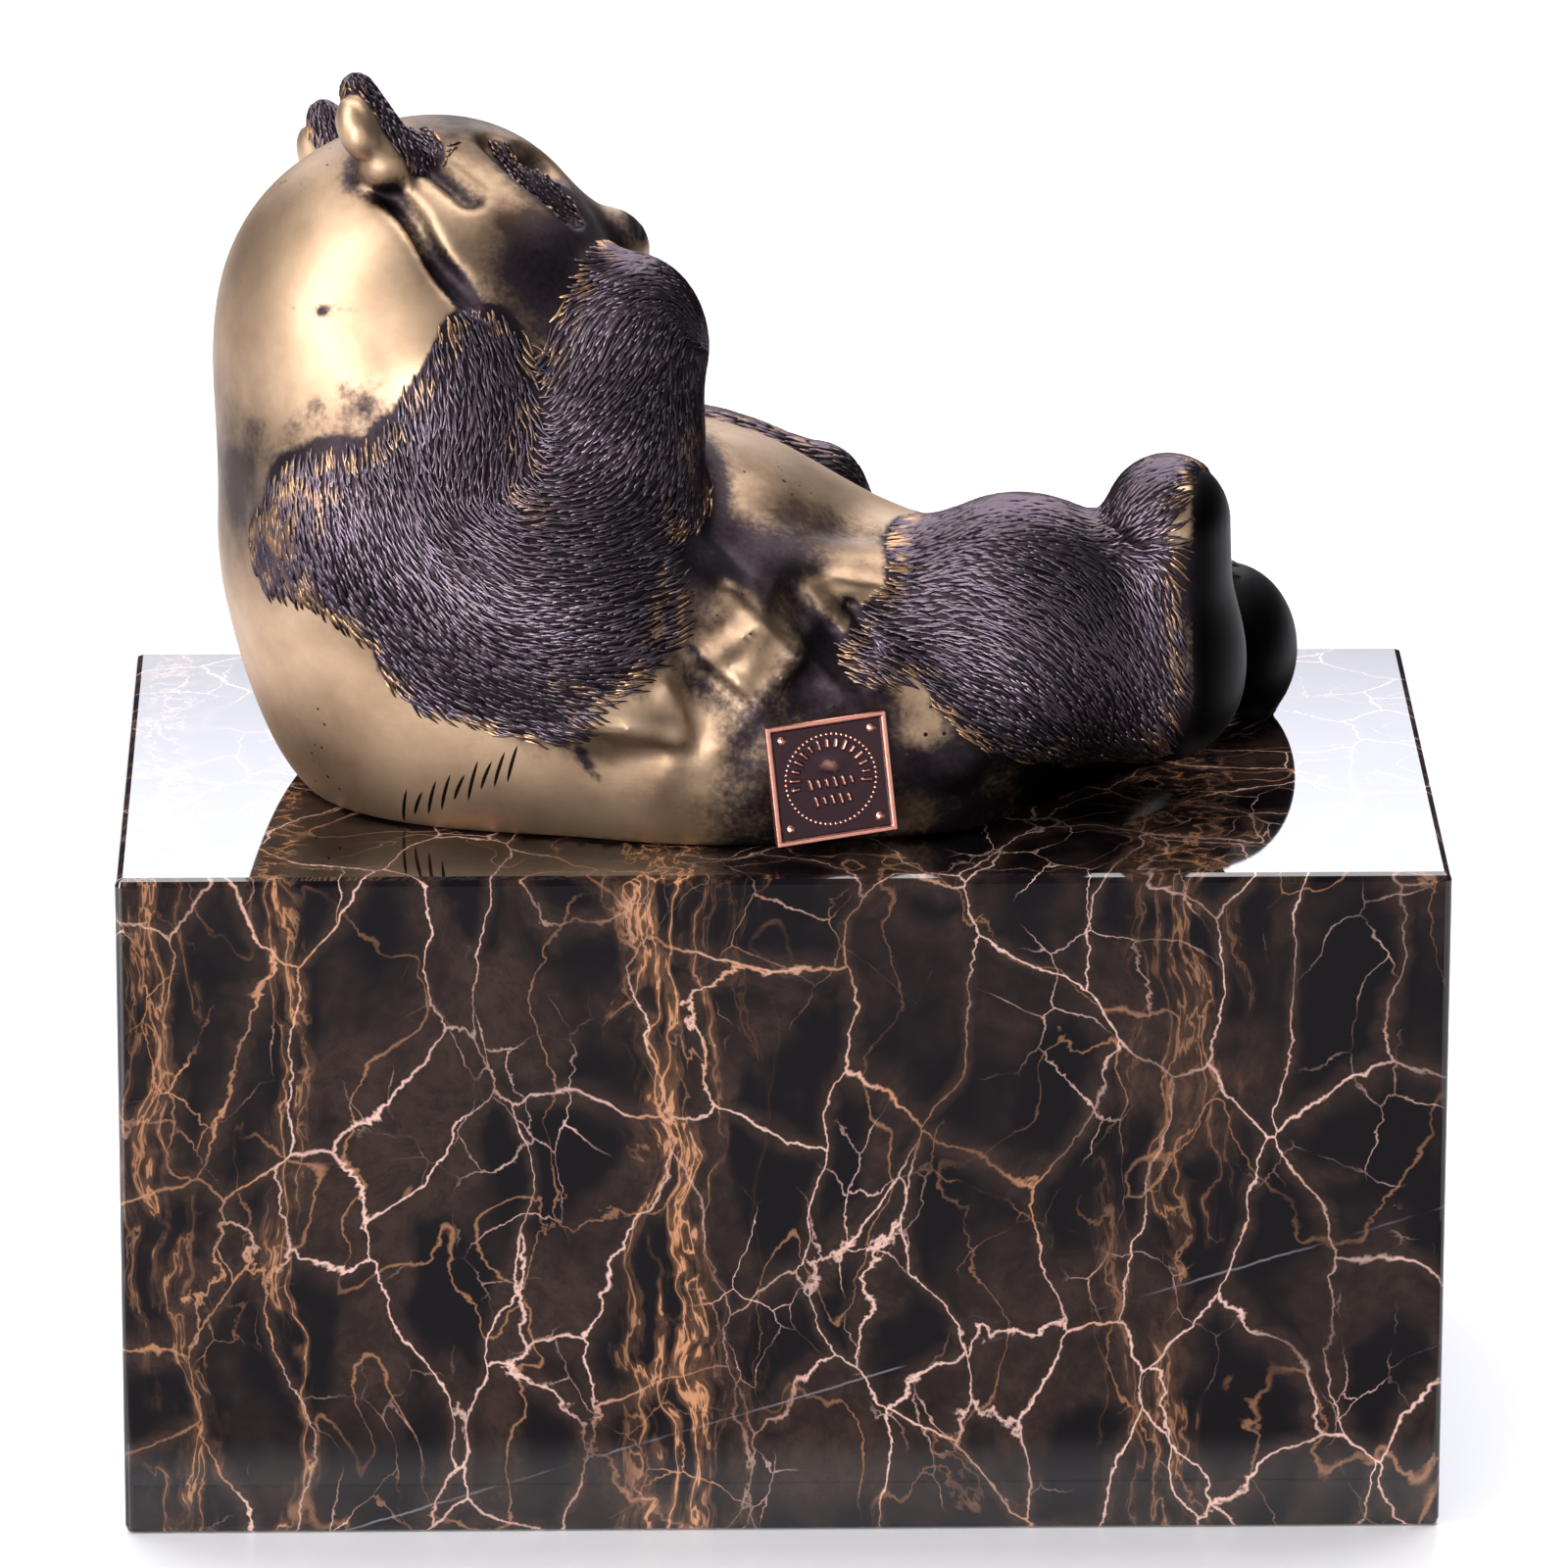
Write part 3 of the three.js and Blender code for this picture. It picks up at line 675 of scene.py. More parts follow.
# where brown is laid thinly over the gold without hiding it: on the face and the belly it is
# painted shade, for the darker room the bronze mirrors there; on the back, hip and flank it is a
# thin patina: place, radius, amount
BROWN_SHADE_AND_PATINA_SPOTS = [
    (on_head(10, -5, 17), 14, 1.0), (on_head(12, -18, 6), 10, 1.0), (on_head(21, -8, 6), 8, 0.95),
    (on_head(6, -20, 4), 6, 0.5), (on_head(4, 0, 22), 8, 0.4), (on_head(-3, -14, 20), 5, 0.7),
    ((-61, -14, 39), 12, 1.0), ((-57, -19, 37), 9, 0.9), ((-50, -28, 46), 7, 0.5),
    ((-45, -26, 56), 4, 0.35),
    ((-62, -4, 52), 10, 0.35), ((-6, -30, 30), 11, 0.8), ((4, -26, 28), 7, 0.6),
    ((2, -19, 36), 10, 0.95), ((-4, -14, 40), 8, 0.6), ((-22, -33, 13), 6, 0.6),
    ((-12, -34, 10), 7, 0.6), ((-2, -34, 10), 8, 0.5), ((8, -29, 16), 8, 0.7),
    ((18, -27, 8), 8, 0.6), ((-52, -22, 10), 8, 0.25),
]
skin_brown_shade_and_patina = np.zeros(len(skin_points))
for place, radius, amount in BROWN_SHADE_AND_PATINA_SPOTS:
    skin_brown_shade_and_patina = np.maximum(skin_brown_shade_and_patina, amount * fading_spot(place, radius))
print("mean patina:", round(float(skin_dark.mean()), 2))

# %% [markdown]
# ## Bronze finishes
# The polished parts are brushed tin bronze, lacquered: a warm pale gold with fine hair
# scratches that stretch its highlights. Where the patina stays it is a near-black brown with
# a violet cast. One material covers both, mixed by the dark value at each point, which holds
# the patina and the painted shade below the near leg, and broken up with noise, so that the
# edge of a stained area is ragged as a rubbed one is. A brown over the gold paints shade on
# the face and belly, and is a thin patina elsewhere.

# %% Bronze materials
POLISHED_BRONZE = linear("#d3b899")
WARM_BRONZE = linear("#9a7a62")
# brown over the gold: painted shade on the face and belly, and a thin patina on the back, hip and
# flank
BROWN_SHADE_AND_PATINA = linear("#37271f")
PATINA_BROWN = linear("#1d1719")
PATINA_VIOLET = linear("#3d343a")
# near-black of the soles' patina and of the painted shade below the near leg
SOLE_PATINA_AND_SHADE_BLACK = linear("#070607")
# repeats per metre
CLOUD_SCALE = 120  # clouds about 8 mm across
GRAIN_SCALE = 1500  # grain of 0.7 mm; the real grain is finer and wouldn't show
PIT_SCALE = 620  # pits 1.6 mm apart
PIT_ZONE_SCALE = 55  # patches of pits about 18 mm across
SCRATCH_SCALE = (400, 900, 5200)  # scratches 0.2 mm apart, coarser than real ones so as to show


def bronze_skin_material():
    """Brushed and lacquered tin bronze with a rubbed-back dark patina and painted shade."""
    material, tree = new_material("brushed_bronze_with_patina")
    place = add(tree, "ShaderNodeTexCoord").outputs["Object"]
    dark = add(tree, "ShaderNodeAttribute", attribute_name="dark").outputs["Fac"]
    cloud = add(tree, "ShaderNodeTexNoise", {
        "Vector": place, "Scale": CLOUD_SCALE, "Detail": 6, "Roughness": 0.65,
    })
    grain = add(tree, "ShaderNodeTexNoise", {
        "Vector": place, "Scale": GRAIN_SCALE, "Detail": 3,
    })
    broken = add(tree, "ShaderNodeMath", {0: cloud, 1: 0.9}, operation="MULTIPLY")
    fine = add(tree, "ShaderNodeMath", {0: grain, 1: 0.5, 2: broken}, operation="MULTIPLY_ADD")
    shifted = add(tree, "ShaderNodeMath", {0: fine, 1: -0.7}, operation="ADD")
    ragged = add(tree, "ShaderNodeMath", {
        0: dark, 1: 1.35, 2: shifted,
    }, operation="MULTIPLY_ADD")
    cover = add(tree, "ShaderNodeMapRange", {
        "Value": ragged, "From Min": 0.28, "From Max": 0.85,
    }, interpolation_type="SMOOTHSTEP")
    pits = add(tree, "ShaderNodeTexVoronoi", {"Vector": place, "Scale": PIT_SCALE})
    pit_zone = add(tree, "ShaderNodeTexNoise", {
        "Vector": place, "Scale": PIT_ZONE_SCALE, "Detail": 2,
    })
    pit_size = add(tree, "ShaderNodeMapRange", {
        "Value": pit_zone, "From Min": 0.52, "From Max": 0.75, "To Max": 0.22,
    })
    pit = add(tree, "ShaderNodeMath", {0: pits, 1: pit_size}, operation="LESS_THAN")
    patina_and_shade_cover = add(tree, "ShaderNodeMath", {0: cover, 1: pit}, operation="MAXIMUM")
    gold = add(tree, "ShaderNodeMix", {
        "Factor": cloud, "A": POLISHED_BRONZE, "B": WARM_BRONZE,
    }, data_type="RGBA")
    # brown: painted shade on the face and belly, and a thin patina on the back, hip and flank
    thin = add(tree, "ShaderNodeAttribute", attribute_name="brown").outputs["Fac"]
    brown_shade_cloud = add(tree, "ShaderNodeMapRange", {
        "Value": cloud, "From Min": 0.3, "From Max": 0.7, "To Min": 0.7, "To Max": 1.3,
    })
    brown_shade_cover = add(tree, "ShaderNodeMath", {
        0: thin, 1: brown_shade_cloud,
    }, operation="MULTIPLY", use_clamp=True)
    gold = add(tree, "ShaderNodeMix", {
        "Factor": brown_shade_cover, "A": gold, "B": BROWN_SHADE_AND_PATINA,
    }, data_type="RGBA")
    tarnish_and_painted_shade = add(tree, "ShaderNodeMix", {
        "Factor": grain, "A": PATINA_BROWN, "B": PATINA_VIOLET,
    }, data_type="RGBA")
    # black: patina on the soles, and painted shade below the near leg
    black = add(tree, "ShaderNodeAttribute", attribute_name="black").outputs["Fac"]
    tarnish_and_painted_shade = add(tree, "ShaderNodeMix", {
        "Factor": black, "A": tarnish_and_painted_shade, "B": SOLE_PATINA_AND_SHADE_BLACK,
    }, data_type="RGBA")
    colour = add(tree, "ShaderNodeMix", {
        "Factor": patina_and_shade_cover, "A": gold, "B": tarnish_and_painted_shade,
    }, data_type="RGBA")
    stretch = add(tree, "ShaderNodeMapping", {
        "Vector": place, "Rotation": (0, 0.5, 0), "Scale": SCRATCH_SCALE,
    })
    scratch = add(tree, "ShaderNodeTexNoise", {"Vector": stretch, "Scale": 1, "Detail": 3})
    rough = add(tree, "ShaderNodeMapRange", {"Value": patina_and_shade_cover, "To Min": 0.48, "To Max": 0.5})
    bump = add(tree, "ShaderNodeBump", {
        "Strength": 0.18, "Distance": 0.00006, "Height": scratch,
    })
    shader = add(tree, "ShaderNodeBsdfPrincipled", {
        "Base Color": colour, "Metallic": 1.0, "Roughness": rough,
        "Normal": bump,
    })
    add(tree, "ShaderNodeOutputMaterial", {"Surface": shader})
    return material


bronze_skin = bronze_skin_material()

# %% [markdown]
# ## The skin mesh
# The skin is cut flat just above the block, where the real casting was ground to sit on it.
# The values worked out above go onto the mesh as attributes, which the finish and the fur
# read by name.

# %% Panda skin
def cut_flat(mesh, height):
    """Removes what is below the height and closes the cut."""
    work = bmesh.new()
    work.from_mesh(mesh)
    parts = work.verts[:] + work.edges[:] + work.faces[:]
    bmesh.ops.bisect_plane(
        work, geom=parts, plane_co=(0, 0, height), plane_no=(0, 0, 1), clear_inner=True)
    rim = [e for e in work.edges if e.is_boundary]
    bmesh.ops.triangle_fill(work, edges=rim, use_beauty=True, use_dissolve=False)
    work.to_mesh(mesh)
    work.free()
    mesh.update()


def store(mesh, name, values):
    kind = "FLOAT" if values.ndim == 1 else "FLOAT_VECTOR"
    slot = mesh.attributes.new(name, kind, "POINT")
    slot.data.foreach_set("value" if values.ndim == 1 else "vector", values.astype(F4).ravel())


placed = skin_points + np.array((0, 0, TOP))
panda = new_piece("panda_bronze", placed, skin_faces.tolist(), bronze_skin)
# the dark, black and brown values carry painted shade as well as patina
store(panda.data, "dark", skin_dark)
store(panda.data, "black", skin_black_patina_and_shade)
store(panda.data, "brown", skin_brown_shade_and_patina)
for name, depth in fur_depths.items():
    store(panda.data, "fur_" + name, np.clip(depth / FUR_SCALE, 0, 1))
store(panda.data, "flow", skin_flow)
cut_flat(panda.data, (TOP + SEAT_GAP) * MM)
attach(panda, "root")
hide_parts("panda")
print("panda mesh faces:", len(panda.data.polygons))

# %% [markdown]
# ## Mark on the hip
# Low on the hip the sculptor cut a short slanting row of strokes, which hold the dark patina.
# Each is a slim bar bent to the form: its places are pulled onto the skin by walking down
# the slope of the distance.

# %% Cut strokes
MARK_START = np.array((-41.5, -21.5, 4.4))
MARK_END = np.array((-30.5, -30.0, 9.8))
MARK_STROKES = 9
MARK_LEAN = 0.8
MARK_BOW = 0.15
STROKE_HALF_WIDTH = 0.2
STROKE_PROUD = 0.05
STROKE_STEPS = 9
SHORTEST_STROKE = 1.9
STROKE_EXTRA = 2.6
STROKE_BEAT = 1.9
PULLS = 6


def pull_to_skin(points):
    for _ in range(PULLS):
        points = points - slope(figure, points) * in_chunks(figure, points.astype(F4))[:, None]
    return points


def cut_stroke(middle, tall):
    """A slim pointed bar on the skin: it leans towards the face and bows a little."""
    t = np.linspace(-1, 1, STROKE_STEPS)[:, None]
    row = unit(MARK_END - MARK_START)
    upwards = np.array((0, 0, 1.0))
    sway = row * (MARK_LEAN * t + MARK_BOW * t * t)
    path = pull_to_skin(middle + upwards * t * tall / 2 + sway)
    normals = slope(figure, path)
    ways = np.gradient(path, axis=0)
    sides = np.cross(normals, ways)
    sides /= length(sides)[:, None]
    half = STROKE_HALF_WIDTH * np.sqrt(np.clip(1.02 - t * t, 0, 1))
    ring = [path + normals * STROKE_PROUD, path + sides * half, path - normals * half,
            path - sides * half]
    points = np.stack(ring, 1).reshape(-1, 3)
    faces = [(3, 2, 1, 0), tuple(range(len(points) - 4, len(points)))]
    for n in range(len(path) - 1):
        faces += [(4 * n + k, 4 * n + (k + 1) % 4, 4 * n + 4 + (k + 1) % 4, 4 * n + 4 + k)
                  for k in range(4)]
    return points + np.array((0, 0, TOP)), faces


mark_points, mark_faces, done = [], [], 0
for n in range(MARK_STROKES):
    middle = MARK_START + (MARK_END - MARK_START) * n / (MARK_STROKES - 1)
    tall = SHORTEST_STROKE + STROKE_EXTRA * abs(math.cos(STROKE_BEAT * n))
    points, faces = cut_stroke(middle, tall)
    mark_points.append(points)
    mark_faces += [tuple(v + done for v in face) for face in faces]
    done += len(points)


def stain_material():
    """Patina left in a chiselled line: near-black and dull."""
    material, tree = new_material("patina_in_cut_lines")
    shader = add(tree, "ShaderNodeBsdfPrincipled", {
        "Base Color": linear("#1c1614"), "Metallic": 1.0, "Roughness": 0.6,
    })
    add(tree, "ShaderNodeOutputMaterial", {"Surface": shader})
    return material


mark = new_piece("hip_mark", np.concatenate(mark_points), mark_faces, stain_material())
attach(mark, "root")
print("strokes in the mark:", MARK_STROKES)

# %% [markdown]
# ## Chased fur
# Each lock on the real casting is a low wavy ridge cut with a chisel, under a millimetre wide
# and a few long. Thousands of them follow the form, which is work for Geometry Nodes: points
# are scattered over the fur, each gets one of a few lock shapes turned along the hair's
# direction, and then every corner of every lock is set at its own height over the skin, so
# that the locks wrap the form instead of standing off it. The lock's crest is marked, so that
# the finish can rub the tops bright.

# %% Fur finish
FUR_FOOT = linear("#0c090b")
FUR_CREST = linear("#544a54")
RUBBED_GOLD = linear("#b08c68")
BLOTCH_SCALE = 420  # blotches of 2.4 mm


def fur_material():
    """Dark liver patina on chased bronze, its crests rubbed, and gold near the polished skin."""
    material, tree = new_material("chased_bronze_fur_patina")
    place = add(tree, "ShaderNodeTexCoord").outputs["Object"]
    crest = add(tree, "ShaderNodeAttribute", attribute_name="crest").outputs["Fac"]
    depth = add(tree, "ShaderNodeAttribute", attribute_name="depth").outputs["Fac"]
    blotch = add(tree, "ShaderNodeTexNoise", {
        "Vector": place, "Scale": BLOTCH_SCALE, "Detail": 3,
    })
    lit = add(tree, "ShaderNodeMapRange", {
        "Value": crest, "From Min": 0.1, "From Max": 0.85,
    }, interpolation_type="SMOOTHSTEP")
    dark = add(tree, "ShaderNodeMix", {
        "Factor": lit, "A": FUR_FOOT, "B": FUR_CREST,
    }, data_type="RGBA")
    edge = add(tree, "ShaderNodeMapRange", {
        "Value": depth, "From Min": 0.32, "From Max": 0.0, "To Min": 0.04, "To Max": 1.0,
    })
    rub = add(tree, "ShaderNodeMapRange", {
        "Value": blotch, "From Min": 0.44, "From Max": 0.66,
    })
    worn = add(tree, "ShaderNodeMath", {0: rub, 1: edge}, operation="MULTIPLY")
    gold = add(tree, "ShaderNodeMath", {0: worn, 1: lit}, operation="MULTIPLY")
    colour = add(tree, "ShaderNodeMix", {
        "Factor": gold, "A": dark, "B": RUBBED_GOLD,
    }, data_type="RGBA")
    rough = add(tree, "ShaderNodeMapRange", {"Value": crest, "To Min": 0.6, "To Max": 0.3})
    shader = add(tree, "ShaderNodeBsdfPrincipled", {
        "Base Color": colour, "Metallic": 1.0, "Roughness": rough,
    })
    add(tree, "ShaderNodeOutputMaterial", {"Surface": shader})
    return material


bronze_fur = fur_material()

# %% Lock shapes
LOCK_LENGTH = 3.7
LOCK_WIDTH = 0.68
LOCK_HEIGHT = 0.36
LOCK_SINK = 0.14
# how far along, and the share of full width and full height there
LOCK_STATIONS = [(0.12, 0.7, 0.6), (0.36, 1.0, 1.0), (0.62, 0.9, 0.95), (0.84, 0.55, 0.7)]
LOCK_BENDS = (-0.4, -0.12, 0.12, 0.4)


def lock_shape(name, bend):
    """A tapered ridge along +X that swings from side to side by bend times its width."""
    points, crest = [(0, 0, -LOCK_SINK)], [0.0]
    for along, width, height in LOCK_STATIONS:
        x = along * LOCK_LENGTH
        swing = bend * LOCK_WIDTH * math.sin(1.5 * math.pi * along)
        half = width * LOCK_WIDTH / 2
        points += [
            (x, swing - half, -LOCK_SINK),
            (x, swing, height * LOCK_HEIGHT),
            (x, swing + half, -LOCK_SINK),
        ]
        crest += [0.0, 1.0, 0.0]
    points.append((LOCK_LENGTH, -bend * LOCK_WIDTH, 0))
    crest.append(0.5)
    faces = [(0, 2, 1), (0, 3, 2), (0, 1, 3)]
    for a in range(1, 3 * len(LOCK_STATIONS) - 2, 3):
        faces += [(a, a + 1, a + 4, a + 3), (a + 1, a + 2, a + 5, a + 4), (a + 2, a, a + 3, a + 5)]
    last, tip = len(points) - 4, len(points) - 1
    faces += [(last, last + 1, tip), (last + 1, last + 2, tip), (last + 2, last, tip)]
    shape = new_piece(name, points, faces)
    heights = [z * MM for x, y, z in points]
    for label, values in (("crest", crest), ("height", heights)):
        shape.data.attributes.new(label, "FLOAT", "POINT").data.foreach_set("value", values)
    return shape


lock_shapes = [lock_shape(f"lock_{i}", bend) for i, bend in enumerate(LOCK_BENDS)]
print("lock faces:", len(lock_shapes[0].data.polygons))

# %% Fur tree
FUR_INPUTS = {
    "Fur": ("NodeSocketString", "fur_arm"),
    "Spacing": ("NodeSocketFloat", 0.88 * MM),
    "Turn": ("NodeSocketFloat", 0.1),
    "Size Low": ("NodeSocketFloat", 0.75),
    "Size High": ("NodeSocketFloat", 1.2),
    "Depth Gain": ("NodeSocketFloat", 1.0),
    "Seed": ("NodeSocketInt", 7),
}
SCATTER_DENSITY = 6.0e6  # tries per square metre, thinned to the spacing


def empty_tree(name, inputs):
    tree = bpy.data.node_groups.new(name, "GeometryNodeTree")
    tree.interface.new_socket("Geometry", in_out="INPUT", socket_type="NodeSocketGeometry")
    for label, (kind, value) in inputs.items():
        socket = tree.interface.new_socket(label, in_out="INPUT", socket_type=kind)
        socket.default_value = value
    tree.interface.new_socket("Geometry", in_out="OUTPUT", socket_type="NodeSocketGeometry")
    return tree, add(tree, "NodeGroupInput").outputs


def fur_tree(shapes, material):
    tree, given = empty_tree("chased_fur", FUR_INPUTS)
    scatter = add(tree, "GeometryNodeDistributePointsOnFaces", {
        "Mesh": given["Geometry"], "Distance Min": given["Spacing"],
        "Density Max": SCATTER_DENSITY, "Seed": given["Seed"],
    }, distribute_method="POISSON")
    fur = add(tree, "GeometryNodeInputNamedAttribute", {
        "Name": given["Fur"],
    }, data_type="FLOAT")
    flow = add(tree, "GeometryNodeInputNamedAttribute", {
        "Name": "flow",
    }, data_type="FLOAT_VECTOR")
    outwards = add(tree, "GeometryNodeStoreNamedAttribute", {
        "Geometry": scatter.outputs["Points"], "Name": "out", "Value": scatter.outputs["Normal"],
    }, data_type="FLOAT_VECTOR")
    depth = add(tree, "ShaderNodeMath", {0: fur, 1: given["Depth Gain"]}, operation="MULTIPLY")
    marked = add(tree, "GeometryNodeStoreNamedAttribute", {
        "Geometry": outwards, "Name": "depth", "Value": depth,
    }, data_type="FLOAT")
    furry = add(tree, "FunctionNodeCompare", {"A": fur, "B": 0.001})
    kept = add(tree, "GeometryNodeSeparateGeometry", {
        "Geometry": marked, "Selection": furry,
    })
    out = add(tree, "GeometryNodeInputNamedAttribute", {
        "Name": "out",
    }, data_type="FLOAT_VECTOR")
    lie = add(tree, "FunctionNodeAxesToRotation", {
        "Primary Axis": out, "Secondary Axis": flow,
    }, primary_axis="Z", secondary_axis="X")
    less = add(tree, "ShaderNodeMath", {0: given["Turn"], 1: -1.0}, operation="MULTIPLY")
    sway = add(tree, "FunctionNodeRandomValue", {
        "Min": less, "Max": given["Turn"], "Seed": given["Seed"],
    })
    spin = add(tree, "ShaderNodeCombineXYZ", {"Z": sway})
    spin_turn = add(tree, "FunctionNodeEulerToRotation", {"Euler": spin})
    turned = add(tree, "FunctionNodeRotateRotation", {
        "Rotation": lie, "Rotate By": spin_turn,
    }, rotation_space="LOCAL")
    size = add(tree, "FunctionNodeRandomValue", {
        "Min": given["Size Low"], "Max": given["Size High"], "Seed": given["Seed"],
    })
    choices = add(tree, "GeometryNodeJoinGeometry")
    for shape in reversed(shapes):
        info = add(tree, "GeometryNodeObjectInfo", {"Object": shape, "As Instance": True})
        tree.links.new(info.outputs["Geometry"], choices.inputs[0])
    laid = add(tree, "GeometryNodeInstanceOnPoints", {
        "Points": kept.outputs["Selection"], "Instance": choices,
        "Pick Instance": True, "Rotation": turned, "Scale": size,
    })
    real = add(tree, "GeometryNodeRealizeInstances", {"Geometry": laid})
    nearest = add(tree, "GeometryNodeProximity", {"Geometry": given["Geometry"]})
    skin_normal = add(tree, "GeometryNodeInputNormal")
    face_out = add(tree, "GeometryNodeSampleNearestSurface", {
        "Mesh": given["Geometry"], "Value": skin_normal,
    }, data_type="FLOAT_VECTOR")
    height = add(tree, "GeometryNodeInputNamedAttribute", {"Name": "height"}, data_type="FLOAT")
    lift = add(tree, "ShaderNodeVectorMath", {
        0: face_out, "Scale": height,
    }, operation="SCALE")
    wrapped = add(tree, "ShaderNodeVectorMath", {
        0: nearest, 1: lift,
    }, operation="ADD")
    settled = add(tree, "GeometryNodeSetPosition", {
        "Geometry": real, "Position": wrapped,
    })
    dressed = add(tree, "GeometryNodeSetMaterial", {
        "Geometry": settled, "Material": material,
    })
    add(tree, "NodeGroupOutput", {"Geometry": dressed})
    return tree


fur_nodes = fur_tree(lock_shapes, bronze_fur)


def grow(piece_name, host, tree, **inputs):
    """Runs a tree on a copy of the host and keeps the result as a plain mesh."""
    work = bpy.data.objects.new(piece_name + "_work", host.data)
    SCENE.collection.objects.link(work)
    modifier = work.modifiers.new("grow", "NODES")
    modifier.node_group = tree
    sockets = {s.name: s.identifier for s in tree.interface.items_tree if s.in_out == "INPUT"}
    for name, value in inputs.items():
        modifier[sockets[name.replace("_", " ")]] = value
    bpy.context.view_layer.update()
    result = work.evaluated_get(bpy.context.evaluated_depsgraph_get())
    mesh = bpy.data.meshes.new_from_object(result)
    bpy.data.objects.remove(work)
    piece = bpy.data.objects.new(piece_name, mesh)
    mesh.name = piece_name
    SCENE.collection.objects.link(piece)
    return piece


# %% Fur
CLOSE_FUR = {"Spacing": 0.56 * MM}
FINE_FUR = {"Spacing": 0.5 * MM, "Size_Low": 0.4, "Size_High": 0.65, "Depth_Gain": 3.0}
EYE_FUR = {"Spacing": 0.5 * MM, "Size_Low": 0.25, "Size_High": 0.45, "Depth_Gain": 3.0}
FUR_SETTINGS = {"arm": CLOSE_FUR, "leg": CLOSE_FUR, "far": {}, "ear": FINE_FUR, "eye": EYE_FUR}
for zone, settings in FUR_SETTINGS.items():
    fur_piece = grow("fur_" + zone, panda, fur_nodes, Fur="fur_" + zone, **settings)
    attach(fur_piece, "root")
    print("fur on", zone, "-", len(fur_piece.data.loop_triangles), "triangles")
for shape in lock_shapes:
    bpy.data.objects.remove(shape)

# %% [markdown]
# ## Marble
# The block is polished black marble with brown haze in it, crackled through with pale pink
# veins and, in a few upright bands, broad gold-brown ones. Real veins fill cracks between
# lumps of rock, and the edges of a cell pattern bent by noise look like them. One thin grey
# seam runs straight through at a slant.

# %% Marble material
MARBLE_BLACK = linear("#0d090c")
MARBLE_BROWN = linear("#43322a")
VEIN_GOLD = linear("#b98461")
SEAM_GREY = linear("#8f8b96")
SEAM_SLOPE = 0.31
SEAM_HEIGHT = 0.0158
SEAM_WIDTH = 0.00022
VEIN_WIDTH = 0.0125
HAZE_WIDTH = 0.13
HAZE_SHARE = 0.7
VEIN_PALE = linear("#d8b0a4")
# along the block's length, 0 to 1, and how much gold flows there
GOLD_BANDS = [
    (0.0, 0.0), (0.03, 0.7), (0.06, 0.0), (0.1, 0.0), (0.118, 0.9), (0.135, 0.0), (0.365, 0.0),
    (0.39, 0.9), (0.425, 1.0), (0.44, 0.1), (0.5, 0.0), (0.74, 0.0), (0.8, 0.5), (0.84, 0.0),
]


